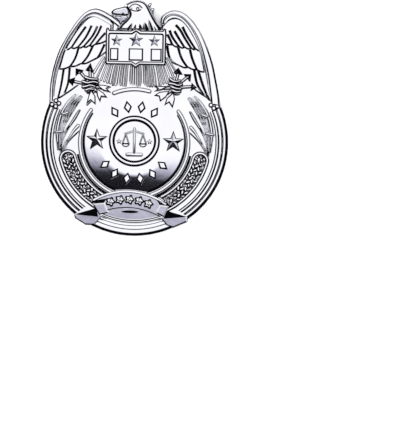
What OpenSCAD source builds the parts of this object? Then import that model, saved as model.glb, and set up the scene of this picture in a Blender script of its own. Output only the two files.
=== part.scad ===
/* [Badge] */
// Radius of the round rim
rim_radius = 32.75; // [32:0.25:34]
// How far the rim's centre lies below the middle of the badge
rim_drop = 8.4; // [8:0.1:9]
// Thickness of the flat plate
plate_thick = 2.0; // [1.6:0.1:2.4]
// Height of the raised centre above the plate, at its edge
centre_rise = 2.1; // [1.8:0.1:2.6]
// Radius of the raised centre where it leaves the plate
centre_radius = 26.9; // [26.5:0.1:27.2]

/* [Rim] */
// Height of the outer bead above the plate
bead_rise = 1.1; // [0.6:0.1:1.4]
// Width of the outer bead
bead_width = 1.9; // [1.5:0.1:2.1]

/* [Wings] */
// Height of the long lower feathers above the plate
wing_rise = 0.9; // [0.6:0.1:1.2]
// Step from one row of feathers up to the next
row_step = 0.6; // [0.4:0.1:0.8]
// Width of the rolled leading edge
roll_width = 1.8; // [1.4:0.1:2.2]
// Width of the slits between feathers
slit_width = 0.5; // [0.3:0.1:0.7]

/* [Disc] */
// Outer radius of the ring round the disc
ring_radius = 19.6; // [19:0.1:19.8]
// Width of that ring
ring_width = 1.8; // [1.2:0.1:2]
// Rise of the disc's dome
dome_rise = 2.0; // [1.4:0.1:2.4]
// Outer radius of the round seal
seal_radius = 8.8; // [8:0.1:9.4]
// Width of the seal's border
seal_border = 1.9; // [1.5:0.1:2.3]

/* [Ribbon] */
// Width of the ribbon's middle from corner to corner
ribbon_width = 26.7; // [25:0.1:28]
// Height of the ribbon's band
ribbon_band = 6.3; // [5.8:0.1:6.8]
// How far the ribbon is turned, in degrees
ribbon_turn = -2.2; // [-3:0.1:0]

/* [Clip] */
// Width of the strap
strap_width = 9.4; // [8.8:0.1:10]
// Thickness of the strap
strap_thick = 1.2; // [1.0:0.1:1.3]
// Width of the spring tongue
tongue_width = 5.8; // [5:0.1:5.9]
// Thickness of the spring tongue
tongue_thick = 1.4; // [1.2:0.1:1.6]
// Room for cloth between the tongue and the back of the badge
cloth_gap = 0.8; // [0.6:0.1:1.2]
// Width of the tongue's round head
head_width = 9.6; // [9:0.1:10]

/* [Hidden] */
$fn = 72;
eps = 0.2;
fit = 0.05;

// Heights, from the back of the clip at zero up to the seal
back_z = tongue_thick + cloth_gap;
plate_z = back_z + plate_thick;
centre_edge_z = plate_z + centre_rise;
ring_z = centre_edge_z + 2.1;
dome_edge_z = ring_z - 0.8;
dome_top_z = dome_edge_z + dome_rise;
seal_z = dome_top_z + 0.8;
shield_z = plate_z + 4.6;
head_top_z = plate_z + 5.2;

// Middle of the rim, the disc and the seal
rim_mid = [0, -rim_drop];
disc_mid = [0, -8.8];
seal_mid = [0, -8.3];

// Places read on the badge, for its right half; the left half mirrors them
wing_edge = [[8.7, 33.2], [8.5, 35.2], [10.4, 37.0], [13.9, 38.2], [16.8, 37.4], [19.2, 35.7],
    [21.6, 32.6], [23.8, 28.3], [25.8, 24.0], [27.4, 20.0], [28.7, 15.7], [29.6, 10.5], [30.1, 4.4]];
wing_root = [[26.4, 1.5], [12, 6], [8, 14], [8.6, 31.4]];
row_one_hem = [[24.3, 23.2], [22.8, 23.4], [20.9, 23.9], [19.6, 24.6], [17.4, 24.3], [15.9, 24.9],
    [14.4, 24.6], [12.6, 25.4], [10.6, 27.0]];
row_one_slits = [[[17.3, 31.5], [19.6, 28.6], [21.6, 25.0]], [[15.2, 31.8], [18.0, 27.2], [19.9, 24.4]],
    [[13.0, 32.0], [15.6, 27.6], [17.6, 24.8]], [[11.7, 31.4], [13.5, 27.8], [15.4, 24.9]]];
row_two_hem = [[26.6, 16.0], [24.2, 16.6], [21.2, 17.6], [19.3, 18.0], [16.0, 19.0], [13.6, 19.6], [10.6, 20.6]];
row_two_slits = [[[19.8, 23.6], [21.4, 20.8], [22.6, 17.4]], [[14.8, 24.4], [16.9, 20.9], [19.4, 18.0]],
    [[11.2, 25.0], [13.2, 21.2], [16.0, 19.0]]];
row_three_slits = [[[26.9, 16.0], [27.4, 11.0], [27.6, 6.0]], [[24.6, 16.4], [25.5, 12.5], [26.6, 6.6]],
    [[22.6, 17.0], [23.2, 13.0], [24.9, 7.6]]];
wing_flank = [[12.4, 10.2], [20.6, 9.6], [24.0, 8.4], [23.2, 12.6], [22.2, 17.0], [12.6, 19.6]];
head_edge = [[9.6, 31.0], [8.2, 32.5], [6.8, 34.4], [5.5, 36.8], [4.6, 38.6], [3.6, 40.0], [2.2, 40.8],
    [0.3, 41.15], [-1.8, 40.8], [-3.5, 39.9], [-4.7, 38.7], [-6.2, 38.2], [-7.8, 37.8], [-8.8, 36.9], [-8.8, 36.0],
    [-8.0, 35.3], [-6.6, 34.9], [-5.5, 34.3], [-5.3, 33.2], [-6.0, 32.2], [-7.0, 30.8]];
throat_edge = [[-10.6, 36.8], [-8.4, 35.7], [-6.0, 34.7], [-5.0, 34.3], [-5.2, 30.6], [-9.9, 30.6]];
head_tufts = [[4.25, 39.6], [5.35, 37.9]];
left_roll_end = [[-10.2, 35.9], [-8.2, 35.0], [-6.6, 33.9], [-5.6, 32.6]];
wing_curls = [[29.3, 4.5], [28.2, 3.4], [27.3, 4.5]];
wing_inside = [[26.6, 3.6], [24.6, 7.4], [20.6, 12], [10, 16], [8.6, 31.4]];
arrow_mid = [14.6, 11.0];
// Each arrow: its head's place, its tail's place
arrows = [[[15.8, 17.6], [14.5, 5.6]], [[19.6, 15.2], [11.2, 6.6]], [[21.2, 11.9], [8.6, 9.2]]];
// Each leaf of a side spray: its line from root to tip, its width at the root and at the tip
spray_leaves = [[[[26.0, -10.0], [24.4, -2.0], [20.2, 7.0]], 1.0, 3.4],
    [[[26.0, -10.6], [23.6, -4.6], [19.9, 1.6]], 0.8, 2.0],
    [[[26.0, -11.2], [23.8, -7.6], [20.2, -3.2]], 0.8, 2.0]];
spray_ties = [[[22.9, 1.4], [25.3, 0.6]], [[24.0, -5.2], [26.3, -5.6]]];
tail_edge = [[11.6, 31.4], [15.4, 30.2], [20.4, 34.2], [19.9, 35.5], [16.4, 37.9], [13.0, 37.4], [10.6, 34.6]];
strap_foot = -39.3;
strap_top = 12.0;
slot_foot = -8.6;
post_radius = 2.15;
post_dip = 0.25;
star_points = 5;
star_waist = 0.42;

function rosette_outline(radius, petals) =
    [for (i = [0:4 * petals - 1]) let (a = i * 90 / petals)
        (radius - 0.35 + 0.35 * cos(petals * a)) * [cos(a), sin(a)]];
// A smooth line through a short table of points
function smooth_at(a, b, c, d, t) =
    0.5 * (2 * b + (c - a) * t + (2 * a - 5 * b + 4 * c - d) * t * t + (3 * b - a - 3 * c + d) * t * t * t);
function smooth_line(pts, steps) = let (last = len(pts) - 1) concat(
    [for (i = [0:last - 1], s = [0:steps - 1])
        smooth_at(pts[max(i - 1, 0)], pts[i], pts[i + 1], pts[min(i + 2, last)], s / steps)],
    [pts[last]]);
function unit(v) = v / norm(v);
function heading(line, i) = unit(line[min(i + 1, len(line) - 1)] - line[max(i - 1, 0)]);
function left_of(v) = [-v[1], v[0]];
function inset_line(line, d) = [for (i = [0:len(line) - 1]) line[i] + left_of(heading(line, i)) * d];
function span(list, first, last) = [for (i = [first:last]) list[i]];
function reversed(list) = [for (i = [len(list) - 1:-1:0]) list[i]];
function flipped(list) = [for (p = list) [-p[0], p[1]]];
function arc_line(mid, radius, from, to, steps) =
    [for (i = [0:steps]) let (a = from + (to - from) * i / steps) mid + radius * [cos(a), sin(a)]];
function cap(p, h, width) = [for (a = [45, 0, -45]) p + (h * cos(a) + left_of(h) * sin(a)) * width / 2];
function band_outline(line, w_start, w_end) = let (last = len(line) - 1) concat(
    [for (i = [0:last]) line[i] + left_of(heading(line, i)) * (w_start + (w_end - w_start) * i / last) / 2],
    cap(line[last], heading(line, last), w_end),
    [for (i = [last:-1:0]) line[i] - left_of(heading(line, i)) * (w_start + (w_end - w_start) * i / last) / 2],
    cap(line[0], -heading(line, 0), w_start));
function star_outline(radius, waist) =
    [for (i = [0:2 * star_points - 1]) let (a = 90 + i * 180 / star_points)
        radius * (i % 2 == 0 ? 1 : waist) * [cos(a), sin(a)]];

// A flat-topped relief of flat shapes, from inside the plate up to a height
module relief(top, bottom = plate_z - eps) {
    translate([0, 0, bottom]) linear_extrude(top - bottom) offset(delta = 0.005) children();
}
module strip(line, w_start, w_end) {
    polygon(band_outline(line, w_start, w_end));
}
module both_sides() {
    children();
    mirror([1, 0, 0]) children();
}
// A round band about a middle, between two angles
module ring_band(mid, inner, outer, from, to, top, bottom) {
    translate([mid[0], mid[1], bottom]) rotate([0, 0, from]) rotate_extrude(angle = to - from, $fn = 144)
        translate([inner, 0]) square([outer - inner, top - bottom]);
}
module star(mid, radius, low, high) {
    translate([mid[0], mid[1], low]) linear_extrude(high - low, scale = 0.12)
        polygon(star_outline(radius, star_waist));
}

// The plate, with the badge's whole outline
module plate() {
    translate([rim_mid[0], rim_mid[1], back_z]) cylinder(h = plate_thick, r = rim_radius, $fn = 144);
    relief(plate_z - 0.02, back_z) {
        both_sides() polygon(concat(smooth_line(wing_edge, 2), wing_root));
        ribbon_place() both_sides() polygon([for (p = tail_edge) [p[0], -p[1]]]);
        polygon([[-9, 8], [9, 8], [9.2, 31.6], [-9.2, 31.6]]);
        polygon(throat_edge);
        polygon(smooth_line(head_edge, 2));
        for (p = head_tufts) translate(p) circle(r = 0.65, $fn = 12);
    }
}

// Three beads that follow the rim from wing to wing
module rim_beads() {
    // Distance of each bead's middle from the rim's edge, its width, its height
    beads = [[bead_width / 2 + 0.05, bead_width, bead_rise], [2.75, 1.35, 0.9], [4.05, 1.15, 0.7]];
    translate([rim_mid[0], rim_mid[1], plate_z]) rotate([0, 0, 157])
        for (b = beads) rotate_extrude(angle = 226, $fn = 144)
            translate([rim_radius - b[0], 0]) polygon([[-b[1] / 2, -eps], [b[1] / 2, -eps], [b[1] / 2, b[2] * 0.4],
                [b[1] * 0.2, b[2]], [-b[1] * 0.2, b[2]], [-b[1] / 2, b[2] * 0.4]]);
}

// Both wings: three rows of feathers with slits between them, and a rolled leading edge
module wings() {
    edge = smooth_line(wing_edge, 2);
    low_z = plate_z + wing_rise;
    mid_z = low_z + row_step;
    high_z = mid_z + row_step;
    inner = inset_line(edge, -2.6);
    difference() {
        union() {
            relief(low_z) {
                polygon(throat_edge);
                both_sides() polygon(concat(edge, wing_inside));
            }
            relief(mid_z) both_sides() {
                polygon(wing_flank);
                polygon(concat(span(inner, 6, 19), row_two_hem, [[9, 20.6], [9, 32.5]]));
            }
            relief(high_z) both_sides() polygon(concat(span(inner, 6, 14), row_one_hem, [[9.2, 27], [9.2, 32.4]]));
        }
        relief(high_z + 1, low_z - 0.3) both_sides()
            for (s = row_one_slits) strip(smooth_line(s, 2), slit_width, slit_width);
        relief(mid_z + 0.2, low_z - 0.4) both_sides()
            for (s = row_two_slits) strip(smooth_line(s, 2), slit_width, slit_width);
        relief(low_z + 0.5, plate_z + 0.2) both_sides()
            for (s = row_three_slits) strip(smooth_line(s, 2), slit_width, slit_width);
    }
    relief(high_z + 0.7) both_sides()
        strip(inset_line(span(edge, 4, 24), -roll_width / 2 - 0.05), roll_width, roll_width);
    relief(high_z + 0.4) both_sides() strip(inset_line(span(edge, 5, 14), -roll_width - 0.75), 1.1, 0.7);
    // The left wing's edge runs on behind the beak
    relief(high_z + 0.65) strip(left_roll_end, roll_width, roll_width);
    // The curl at the foot of each wing
    relief(high_z + 0.2) both_sides() for (c = wing_curls) translate(c) circle(r = 0.95, $fn = 10);
}

// The domed middle of the badge, on which the disc, sprays and panels stand
module raised_centre() {
    dome_radius = 150;
    intersection() {
        translate([rim_mid[0], rim_mid[1], plate_z - eps])
            cylinder(h = 6, r1 = centre_radius + 0.05, r2 = centre_radius - 1.9, $fn = 144);
        translate([rim_mid[0], rim_mid[1], centre_edge_z + 2.3 - dome_radius])
            sphere(r = dome_radius, $fn = 200);
        translate([-30, -36, 0]) cube([60, 51, 20]);
    }
}

// The domed disc and its broken ring
module disc() {
    low = centre_edge_z - 0.5;
    dome_radius = (pow(ring_radius, 2) + pow(dome_rise, 2)) / (2 * dome_rise);
    inner = ring_radius - ring_width;
    intersection() {
        translate([disc_mid[0], disc_mid[1], low])
            cylinder(h = 6, r = ring_radius - ring_width / 2, $fn = 144);
        translate([disc_mid[0], disc_mid[1], dome_top_z - dome_radius]) sphere(r = dome_radius, $fn = 200);
    }
    both_sides() ring_band(disc_mid, inner, ring_radius, -70, 37, ring_z, low);
    ring_band(disc_mid, inner, ring_radius, 74.5, 113, ring_z + 0.1, low);
}

// Plain lozenges on two arcs, and a star at each side of the seal
module disc_marks() {
    relief(dome_top_z - 0.05, dome_edge_z - 0.3) {
        for (k = [-1.5:1.5]) lozenge(90 + k * 22);
        for (k = [-2.5:2.5]) lozenge(-90 + k * 21);
    }
    both_sides() star([13.2, -8.0], 3.7, dome_edge_z, dome_top_z + 0.3);
}
module lozenge(angle) {
    translate(disc_mid) rotate([0, 0, angle]) translate([12.6, 0])
        polygon([[2.3, 0], [0, 1.25], [-2.3, 0], [0, -1.25]]);
}

// The round seal: a raised border round a pair of scales
module seal() {
    floor_z = seal_z - 0.7;
    translate([seal_mid[0], seal_mid[1], dome_edge_z]) difference() {
        cylinder(h = seal_z - dome_edge_z, r = seal_radius, $fn = 96);
        translate([0, 0, floor_z - dome_edge_z]) cylinder(h = 2, r = seal_radius - seal_border, $fn = 96);
    }
    relief(seal_z - 0.1, floor_z - 0.3) translate(seal_mid) {
        strip([[0, -4.3], [0, 4.3]], 0.9, 0.8);
        strip([[-3.1, 2.6], [0, 3.5], [3.1, 2.6]], 0.7, 0.7);
        strip([[-2.2, -4.6], [2.2, -4.6]], 1.2, 1.2);
        both_sides() {
            strip([[3.0, 2.4], [2.0, -0.6]], 0.5, 0.5);
            strip([[3.0, 2.4], [4.0, -0.6]], 0.5, 0.5);
            polygon(arc_line([3.0, -0.7], 1.35, 180, 360, 6));
            translate([5.3, -0.2]) polygon(star_outline(1.15, star_waist));
        }
    }
}

// A spray of three rodded leaves at each side of the disc
module side_sprays() {
    top = centre_edge_z + 1.2;
    relief(top - 0.35, plate_z) both_sides()
        for (leaf = spray_leaves) strip(smooth_line(leaf[0], 3), leaf[1], leaf[2]);
    relief(top, plate_z) both_sides() for (leaf = spray_leaves, side = [-0.32, 0, 0.32]) {
        line = smooth_line(leaf[0], 3);
        last = len(line) - 1;
        rod = [for (k = [0:last]) line[k]
            + left_of(heading(line, k)) * side * (leaf[1] + (leaf[2] - leaf[1]) * k / last)];
        strip(rod, leaf[1] * 0.25, leaf[2] * 0.2);
    }
    relief(top + 0.4, plate_z) both_sides() for (tie = spray_ties) strip(tie, 0.9, 0.9);
}

// A curved laurel panel at each side of the ribbon
module laurel_panels() {
    inner = 20.9;
    outer = 26.6;
    mid_radius = (inner + outer) / 2;
    floor_z = centre_edge_z + 0.75;
    start = -15;
    end = -64;
    tip = rim_mid + mid_radius * [cos(start), sin(start)];
    both_sides() {
        ring_band(rim_mid, inner, outer, end, start, floor_z, plate_z);
        translate([tip[0], tip[1], plate_z]) cylinder(h = floor_z - plate_z - 0.01, r = (outer - inner) / 2 - 0.02);
        ring_band(rim_mid, outer - 0.6, outer + 0.02, end, start - 1, floor_z + 0.6, plate_z + 0.1);
        ring_band(rim_mid, inner - 0.02, inner + 0.6, end, start - 1, floor_z + 0.58, plate_z + 0.1);
        ring_band(tip, mid_radius - inner - 0.58, mid_radius - inner + 0.01, start - 2, start + 182,
            floor_z + 0.56, plate_z + 0.1);
    }
    relief(floor_z + 0.55, plate_z + 0.2) both_sides() for (row = [-1, 1], k = [0:9]) {
        a = start - 1 - (k + (row + 1) / 4) * 4.7;
        translate(rim_mid + (mid_radius + row * 1.05) * [cos(a), sin(a)]) rotate([0, 0, a - 90 + row * 35])
            polygon([[-1.1, 0], [-0.3, 0.65], [0.6, 0.5], [1.2, 0], [0.6, -0.5], [-0.3, -0.65]]);
    }
}

// Turns the ribbon as it lies on the badge
module ribbon_place() {
    translate([-1.3, -30, 0]) rotate([0, 0, ribbon_turn]) translate([0, 30, 0]) children();
}

// The ribbon across the foot, with folded tails
module ribbon() {
    bend = 23.4;
    top = plate_z + 4.7;
    half = asin(ribbon_width / 2 / bend);
    foot_half = asin((ribbon_width / 2 - 2.6) / bend);
    crown = -25.3;
    upper = arc_line([0, crown - bend], bend, 90 + half, 90 - half, 12);
    lower = arc_line([0, crown - bend - ribbon_band], bend, 90 - foot_half, 90 + foot_half, 10);
    ribbon_place() {
        relief(top - 0.6, plate_z) polygon(concat(upper, lower));
        relief(top, plate_z) strip(inset_line(upper, -0.4), 0.8, 0.8);
        relief(top + 0.2, top - 1) for (k = [-2:2]) {
            a = 90 - k * 9.6;
            translate([0, crown - bend - 0.2] + (bend - ribbon_band / 2) * [cos(a), sin(a)]) rotate([0, 0, a])
                polygon(rosette_outline(1.55, 5));
        }
        both_sides() hull() {
            translate([0, 0, plate_z - eps]) linear_extrude(1.6)
                polygon([for (p = tail_edge) [p[0] + 0.1, -p[1]]]);
            translate([12.6, -33.6, plate_z]) cylinder(h = 3.3, r = 0.5, $fn = 12);
            translate([18.4, -34.4, plate_z]) cylinder(h = 2.2, r = 0.2, $fn = 12);
        }
    }
}

// The striped shield with three stars
module shield() {
    // The shield's outline from its foot up the right side to its crown
    side = [[0, 17.5], [1.4, 18.5], [10.5, 18.5], [10.7, 29.6], [10.4, 31.0], [9.6, 31.2], [9.0, 30.2],
        [1.7, 30.2], [0, 31.1]];
    inner = [[0, 18.9], [1.2, 19.6], [9.4, 19.6], [9.4, 28.9], [1.3, 28.9], [0, 29.9]];
    difference() {
        relief(shield_z) polygon(concat(side, reversed(flipped(span(side, 1, 7)))));
        relief(shield_z + 1, shield_z - 0.8) polygon(concat(inner, reversed(flipped(span(inner, 1, 4)))));
    }
    relief(shield_z - 0.15, shield_z - 1) {
        for (x = [-7.3, 7.3]) translate([x - 1.6, 20.1]) square([3.2, 4.3]);
        polygon([[0, 19.3], [1.2, 20.1], [2.45, 20.1], [2.45, 24.4], [-2.45, 24.4], [-2.45, 20.1], [-1.2, 20.1]]);
    }
    star([-6.6, 26.7], 1.9, shield_z - 1, shield_z + 0.1);
    star([0, 27.0], 2.3, shield_z - 1, shield_z + 0.15);
    star([6.4, 26.7], 1.9, shield_z - 1, shield_z + 0.1);
}

// The fluted breast between the shield and the disc
module breast() {
    low_z = plate_z + 2.6;
    flutes = 9;
    side = [[9.6, 10.4], [12.8, 11.6], [14.6, 13.6], [14.9, 16.4], [11.0, 21.0], [9.0, 21.0]];
    relief(low_z) polygon(concat(side, reversed(flipped(side))));
    relief(low_z + 0.5) for (k = [-flutes:flutes]) {
        t = k / flutes;
        lean = pow(abs(t), 3);
        top = [t * (10.6 + 0.6 * lean), 18.7 + 2.3 * lean];
        foot = [t * (12.6 + 1.9 * lean), 11.0 + t * t + 3.6 * pow(t, 6)];
        strip([top, (top + foot) / 2, foot], 0.75, 0.95);
    }
}

// A claw at each side that grips three arrows
module claws_and_arrows() {
    top = plate_z + 3.9;
    relief(top - 0.4) both_sides() for (arrow = arrows) strip(arrow, 1.3, 1.3);
    relief(top) both_sides() for (arrow = arrows) {
        way = unit(arrow[1] - arrow[0]);
        side = left_of(way);
        from = arrow[0];
        polygon([from - way * 1.6, from + way * 1.2 + side * 1.5, from + way * 2.4 + side * 0.6,
            from + way * 2.4 - side * 0.6, from + way * 1.2 - side * 1.5]);
    }
    relief(top + 0.6) both_sides() for (arrow = arrows) {
        way = unit(arrow[1] - arrow[0]);
        side = left_of(way);
        to = arrow[1];
        polygon([to - way * 3.6 + side * 0.7, to - way * 1.8 + side * 1.5, to + way * 0.6 + side * 1.7,
            to - way * 0.8, to + way * 0.6 - side * 1.7, to - way * 1.8 - side * 1.5, to - way * 3.6 - side * 0.7]);
    }
    // The claw's three toes, side by side across the arrows
    relief(top + 1.1) both_sides() for (t = [-1:1])
        strip([arrow_mid + [1.45 * t - 0.7, 1.9 - 0.2 * abs(t)], arrow_mid + [1.6 * t + 0.3, -2.0]], 1.2, 1.0);
}

// The eagle's head, turned to its right
module eagle_head() {
    edge = smooth_line(head_edge, 2);
    dome = 11.6;
    difference() {
        intersection() {
            relief(head_top_z + 1) polygon(edge);
            translate([0.4, 36.4, head_top_z - dome]) sphere(r = dome, $fn = 96);
        }
        relief(head_top_z + 1, head_top_z - 1.9)
            strip(smooth_line([[-4.4, 39.4], [-3.4, 38.0], [-2.6, 36.4], [-2.7, 35.2]], 2), 0.5, 0.5);
        relief(head_top_z, head_top_z - 4.2) strip(smooth_line([[-8.4, 35.9], [-6.4, 35.2], [-4.2, 35.4]], 2), 0.4, 0.4);
    }
    relief(head_top_z - 0.1) strip(smooth_line([[-2.2, 38.4], [-0.6, 39.6], [1.8, 38.8]], 3), 0.6, 0.5);
    translate([0.4, 38.2, head_top_z - 0.75]) sphere(r = 0.7, $fn = 24);
    relief(plate_z + 1.4) for (p = head_tufts) translate(p) circle(r = 0.6, $fn = 12);
    // Each neck feather: where it starts, where its tip is
    ruff = [[-3.4, -4.6], [-1.4, -1.9], [0.4, 0.3], [2.2, 2.5], [4.0, 4.7], [5.8, 7.0]];
    relief(shield_z + 0.1) for (feather = ruff) strip([[feather[0], 33.6], [feather[1], 31.0]], 1.7, 0.6);
}

// What is hollow at the back, and the seat for the strap
module hollow() {
    ceiling_z = centre_edge_z - 1.2;
    cap_radius = 22;
    cap_rise = 2.5;
    dome_radius = (pow(cap_radius, 2) + pow(cap_rise, 2)) / (2 * cap_rise);
    mouth = [[0, -33.5], [5.0, -33.7], [8.6, -34.4], [11.4, -36.0], [16, -50], [30, -40], [30, 2], [21.4, 7.8],
        [20.2, 10.2], [18.0, 11.9], [15.4, 12.4], [13.2, 11.6], [11.6, 10.0], [9.6, 9.5], [8.0, 10.1], [6.4, 12.0],
        [5.4, 12.9], [0, 13.0]];
    ribbon_place() relief(plate_z + 0.2, 0) both_sides() strip([[11.8, -29.2], [14.0, -33.6]], 4.6, 4.6);
    translate([-strap_width / 2 - fit, strap_foot - fit, 0])
        cube([strap_width + 2 * fit, 12, back_z + strap_thick + fit]);
    intersection() {
        union() {
            translate([rim_mid[0], rim_mid[1], back_z - 1])
                cylinder(h = ceiling_z - back_z + 1, r1 = centre_radius + 0.2, r2 = centre_radius - 3, $fn = 144);
            translate([rim_mid[0], rim_mid[1], 0]) intersection() {
                translate([0, 0, ceiling_z - eps]) cylinder(h = 5, r = cap_radius, $fn = 144);
                translate([0, 0, ceiling_z + cap_rise - dome_radius]) sphere(r = dome_radius, $fn = 200);
            }
        }
        difference() {
            relief(20, 0) polygon(concat(mouth, reversed(flipped(span(mouth, 1, 16)))));
            both_sides() translate([14.4, -17.9, ceiling_z + 0.5]) cylinder(h = 9, r = 2.1, $fn = 48);
        }
    }
}

// The post that holds the clip
module post() {
    translate([0, 16.7, post_dip]) cylinder(h = plate_z - 0.5 - post_dip, r = post_radius, $fn = 48);
}

module shell() {
    color("silver") union() {
        difference() {
            union() {
                plate();
                rim_beads();
                wings();
                raised_centre();
                disc();
                disc_marks();
                seal();
                side_sprays();
                laurel_panels();
                ribbon();
                shield();
                breast();
                claws_and_arrows();
                eagle_head();
            }
            hollow();
        }
        post();
    }
}

// The bar across the hollow, forked at its top round the tongue
module strap() {
    slot = tongue_width / 2 + 0.25;
    color("gainsboro") difference() {
        translate([-strap_width / 2, strap_foot, back_z]) cube([strap_width, strap_top - strap_foot, strap_thick]);
        translate([0, slot_foot + slot, back_z - 1]) cylinder(h = strap_thick + 2, r = slot, $fn = 48);
        translate([-slot, slot_foot + slot, back_z - 1]) cube([2 * slot, 40, strap_thick + 2]);
    }
}

// The spring tongue with its round head on the post
module clip_tongue() {
    half = tongue_width / 2;
    head_half = head_width / 2;
    tip = -6.9;
    shoulder = 13.5;
    color("lightgray") difference() {
        union() {
            translate([0, 21.2 - head_half, 0]) cylinder(h = back_z - fit, r = head_half, $fn = 72);
            translate([-head_half, shoulder, 0]) cube([head_width, 21.2 - head_half - shoulder, back_z - fit]);
            translate([-half, tip + half, 0]) cube([tongue_width, shoulder - tip - half + 1, tongue_thick]);
            translate([0, tip + half, 0]) cylinder(h = tongue_thick, r = half, $fn = 48);
        }
        translate([0, 16.7, -1]) cylinder(h = back_z + 2, r = post_radius + fit, $fn = 48);
    }
}

shell();
strap();
clip_tongue();
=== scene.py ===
import math
import random
import bpy
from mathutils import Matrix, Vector


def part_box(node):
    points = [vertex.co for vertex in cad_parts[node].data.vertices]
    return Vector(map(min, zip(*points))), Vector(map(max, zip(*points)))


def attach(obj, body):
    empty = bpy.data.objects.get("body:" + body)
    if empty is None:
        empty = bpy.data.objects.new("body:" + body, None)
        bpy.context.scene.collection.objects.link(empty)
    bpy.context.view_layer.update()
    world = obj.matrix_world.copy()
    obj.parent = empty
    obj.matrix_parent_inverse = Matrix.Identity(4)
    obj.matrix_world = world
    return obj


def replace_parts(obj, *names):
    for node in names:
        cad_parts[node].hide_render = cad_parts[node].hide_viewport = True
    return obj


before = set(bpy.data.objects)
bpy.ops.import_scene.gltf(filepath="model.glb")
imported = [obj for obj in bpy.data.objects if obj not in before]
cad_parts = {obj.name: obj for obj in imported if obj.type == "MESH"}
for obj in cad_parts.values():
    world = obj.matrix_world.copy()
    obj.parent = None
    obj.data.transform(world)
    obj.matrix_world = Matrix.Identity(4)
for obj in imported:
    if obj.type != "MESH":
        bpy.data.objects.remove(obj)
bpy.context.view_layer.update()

dice = random.Random(7)

# Numbers below are in millimetres and angles in degrees, until they reach Blender.
# x runs to the right of the face, y up to the eagle's head, z out of the face.
mm = 0.001
mergeGap = 0.001 * mm                   # corners closer than this are one corner
startSize = 0.01                        # metres, of a primitive before its corners are set
strapLow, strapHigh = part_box("strap")
shellTop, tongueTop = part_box("shell")[1].z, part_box("clip_tongue")[1].z

backZ = strapLow.z / mm                 # back of the plate
plateZ = backZ + 2.0                    # front of the flat plate
baseZ = plateZ - 0.2                    # foot of the raised work, inside the plate
centreZ = plateZ + 2.1                  # edge of the domed middle
sealZ = shellTop / mm                   # top of the round seal
domeTopZ = sealZ - 0.8
domeEdgeZ = domeTopZ - 2.0
ringZ = centreZ + 2.1
shieldZ = plateZ + 4.6
rimMid = (0.0, -8.4)
discMid = (0.0, -8.8)
sealMid = (0.1, -8.2)

# The edges of all raised work: shares of the way in and of the rise, steep first, then about 30 degrees
edgeShape = ((0.0, 0.0), (0.12, 0.36), (0.38, 0.63), (0.7, 0.87), (1.0, 1.0))
edgeHeight = 0.62
starSlope = 0.235                       # mirrors white, lilac and black, one after the other
starWaist, starSide = 0.42, 0.35        # from the middle to an inner corner and to a side, per radius
grooveSlope = 0.6                       # of a groove's sides, which mirror black
toolRise = 0.1                          # how far a cutting tool starts above the face that it cuts
toolHeight = 0.8
toolDrop = 1                            # how far a cutting tool starts below the back
slab = 0.1                              # a facet's thickness, before its corners are raised


# Lines and outlines
def smoothLine(points, steps):
    # a smooth line through a few points
    line = []
    last = len(points) - 1
    for i in range(last):
        a, b, c, d = (Vector(points[k]) for k in (max(i - 1, 0), i, i + 1, min(i + 2, last)))
        for s in range(steps):
            t = s / steps
            line.append(0.5 * (2 * b + (c - a) * t + (2 * a - 5 * b + 4 * c - d) * t * t
                               + (3 * b - a - 3 * c + d) * t ** 3))
    line.append(Vector(points[last]))
    return line


def evenLine(points, count):
    # the smooth line cut into so many even steps
    line = smoothLine(points, 8)
    lengths = [0.0]
    for a, b in zip(line, line[1:]):
        lengths.append(lengths[-1] + (b - a).length)
    even = []
    for k in range(count + 1):
        goal = lengths[-1] * k / count
        i = min(max(j for j, length in enumerate(lengths) if length <= goal + 1e-9), len(line) - 2)
        even.append(line[i].lerp(line[i + 1], (goal - lengths[i]) / (lengths[i + 1] - lengths[i])))
    return even


def smoothLoop(points, steps):
    return smoothLine(points + points[:1], steps)[:-1]


def around(mid, radius, angle):
    # the place at an angle round a middle
    turn = math.radians(angle)
    return Vector((mid[0] + radius * math.cos(turn), mid[1] + radius * math.sin(turn)))


def arcLine(mid, radius, start, end, steps):
    return [around(mid, radius, start + (end - start) * k / steps) for k in range(steps + 1)]


def circle(mid, radius, corners):
    return arcLine(mid, radius, 0, 360 - 360 / corners, corners - 1)


def heading(line, k):
    return (Vector(line[min(k + 1, len(line) - 1)]) - Vector(line[max(k - 1, 0)])).normalized()


def leftOf(way):
    return Vector((-way[1], way[0]))


def shifted(line, distance):
    # the line moved to its left
    return [Vector(p) + leftOf(heading(line, k)) * distance for k, p in enumerate(line)]


def sided(points, side):
    # the points as they are, side 1, or mirrored, side -1
    return [(p[0] * side, p[1]) for p in points]


def mirrored(points):
    return sided(points, -1)[::-1]


def widthsAlong(line, width):
    # one width all along a line, or evenly from the first of two widths to the second
    start, end = width if isinstance(width, tuple) else (width, width)
    last = len(line) - 1
    return [start + (end - start) * k / last for k in range(last + 1)]


def halfRound(point, way, width):
    # a strip's round end
    ways = [Vector(way) * math.cos(math.radians(a)) + leftOf(way) * math.sin(math.radians(a))
            for a in (60, 30, 0, -30, -60)]
    return [Vector(point) + turned * width / 2 for turned in ways]


def stripOutline(line, width):
    # a band along a line, with round ends
    widths = widthsAlong(line, width)
    left = [Vector(p) + leftOf(heading(line, k)) * widths[k] / 2 for k, p in enumerate(line)]
    right = [Vector(p) - leftOf(heading(line, k)) * widths[k] / 2 for k, p in enumerate(line)]
    return (left + halfRound(line[-1], heading(line, len(line) - 1), widths[-1])
            + right[::-1] + halfRound(line[0], -heading(line, 0), widths[0]))


def starOutline(mid, radius):
    # five points, the first one upwards
    return [around(mid, radius * (starWaist if k % 2 else 1), 90 + 36 * k) for k in range(10)]


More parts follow.
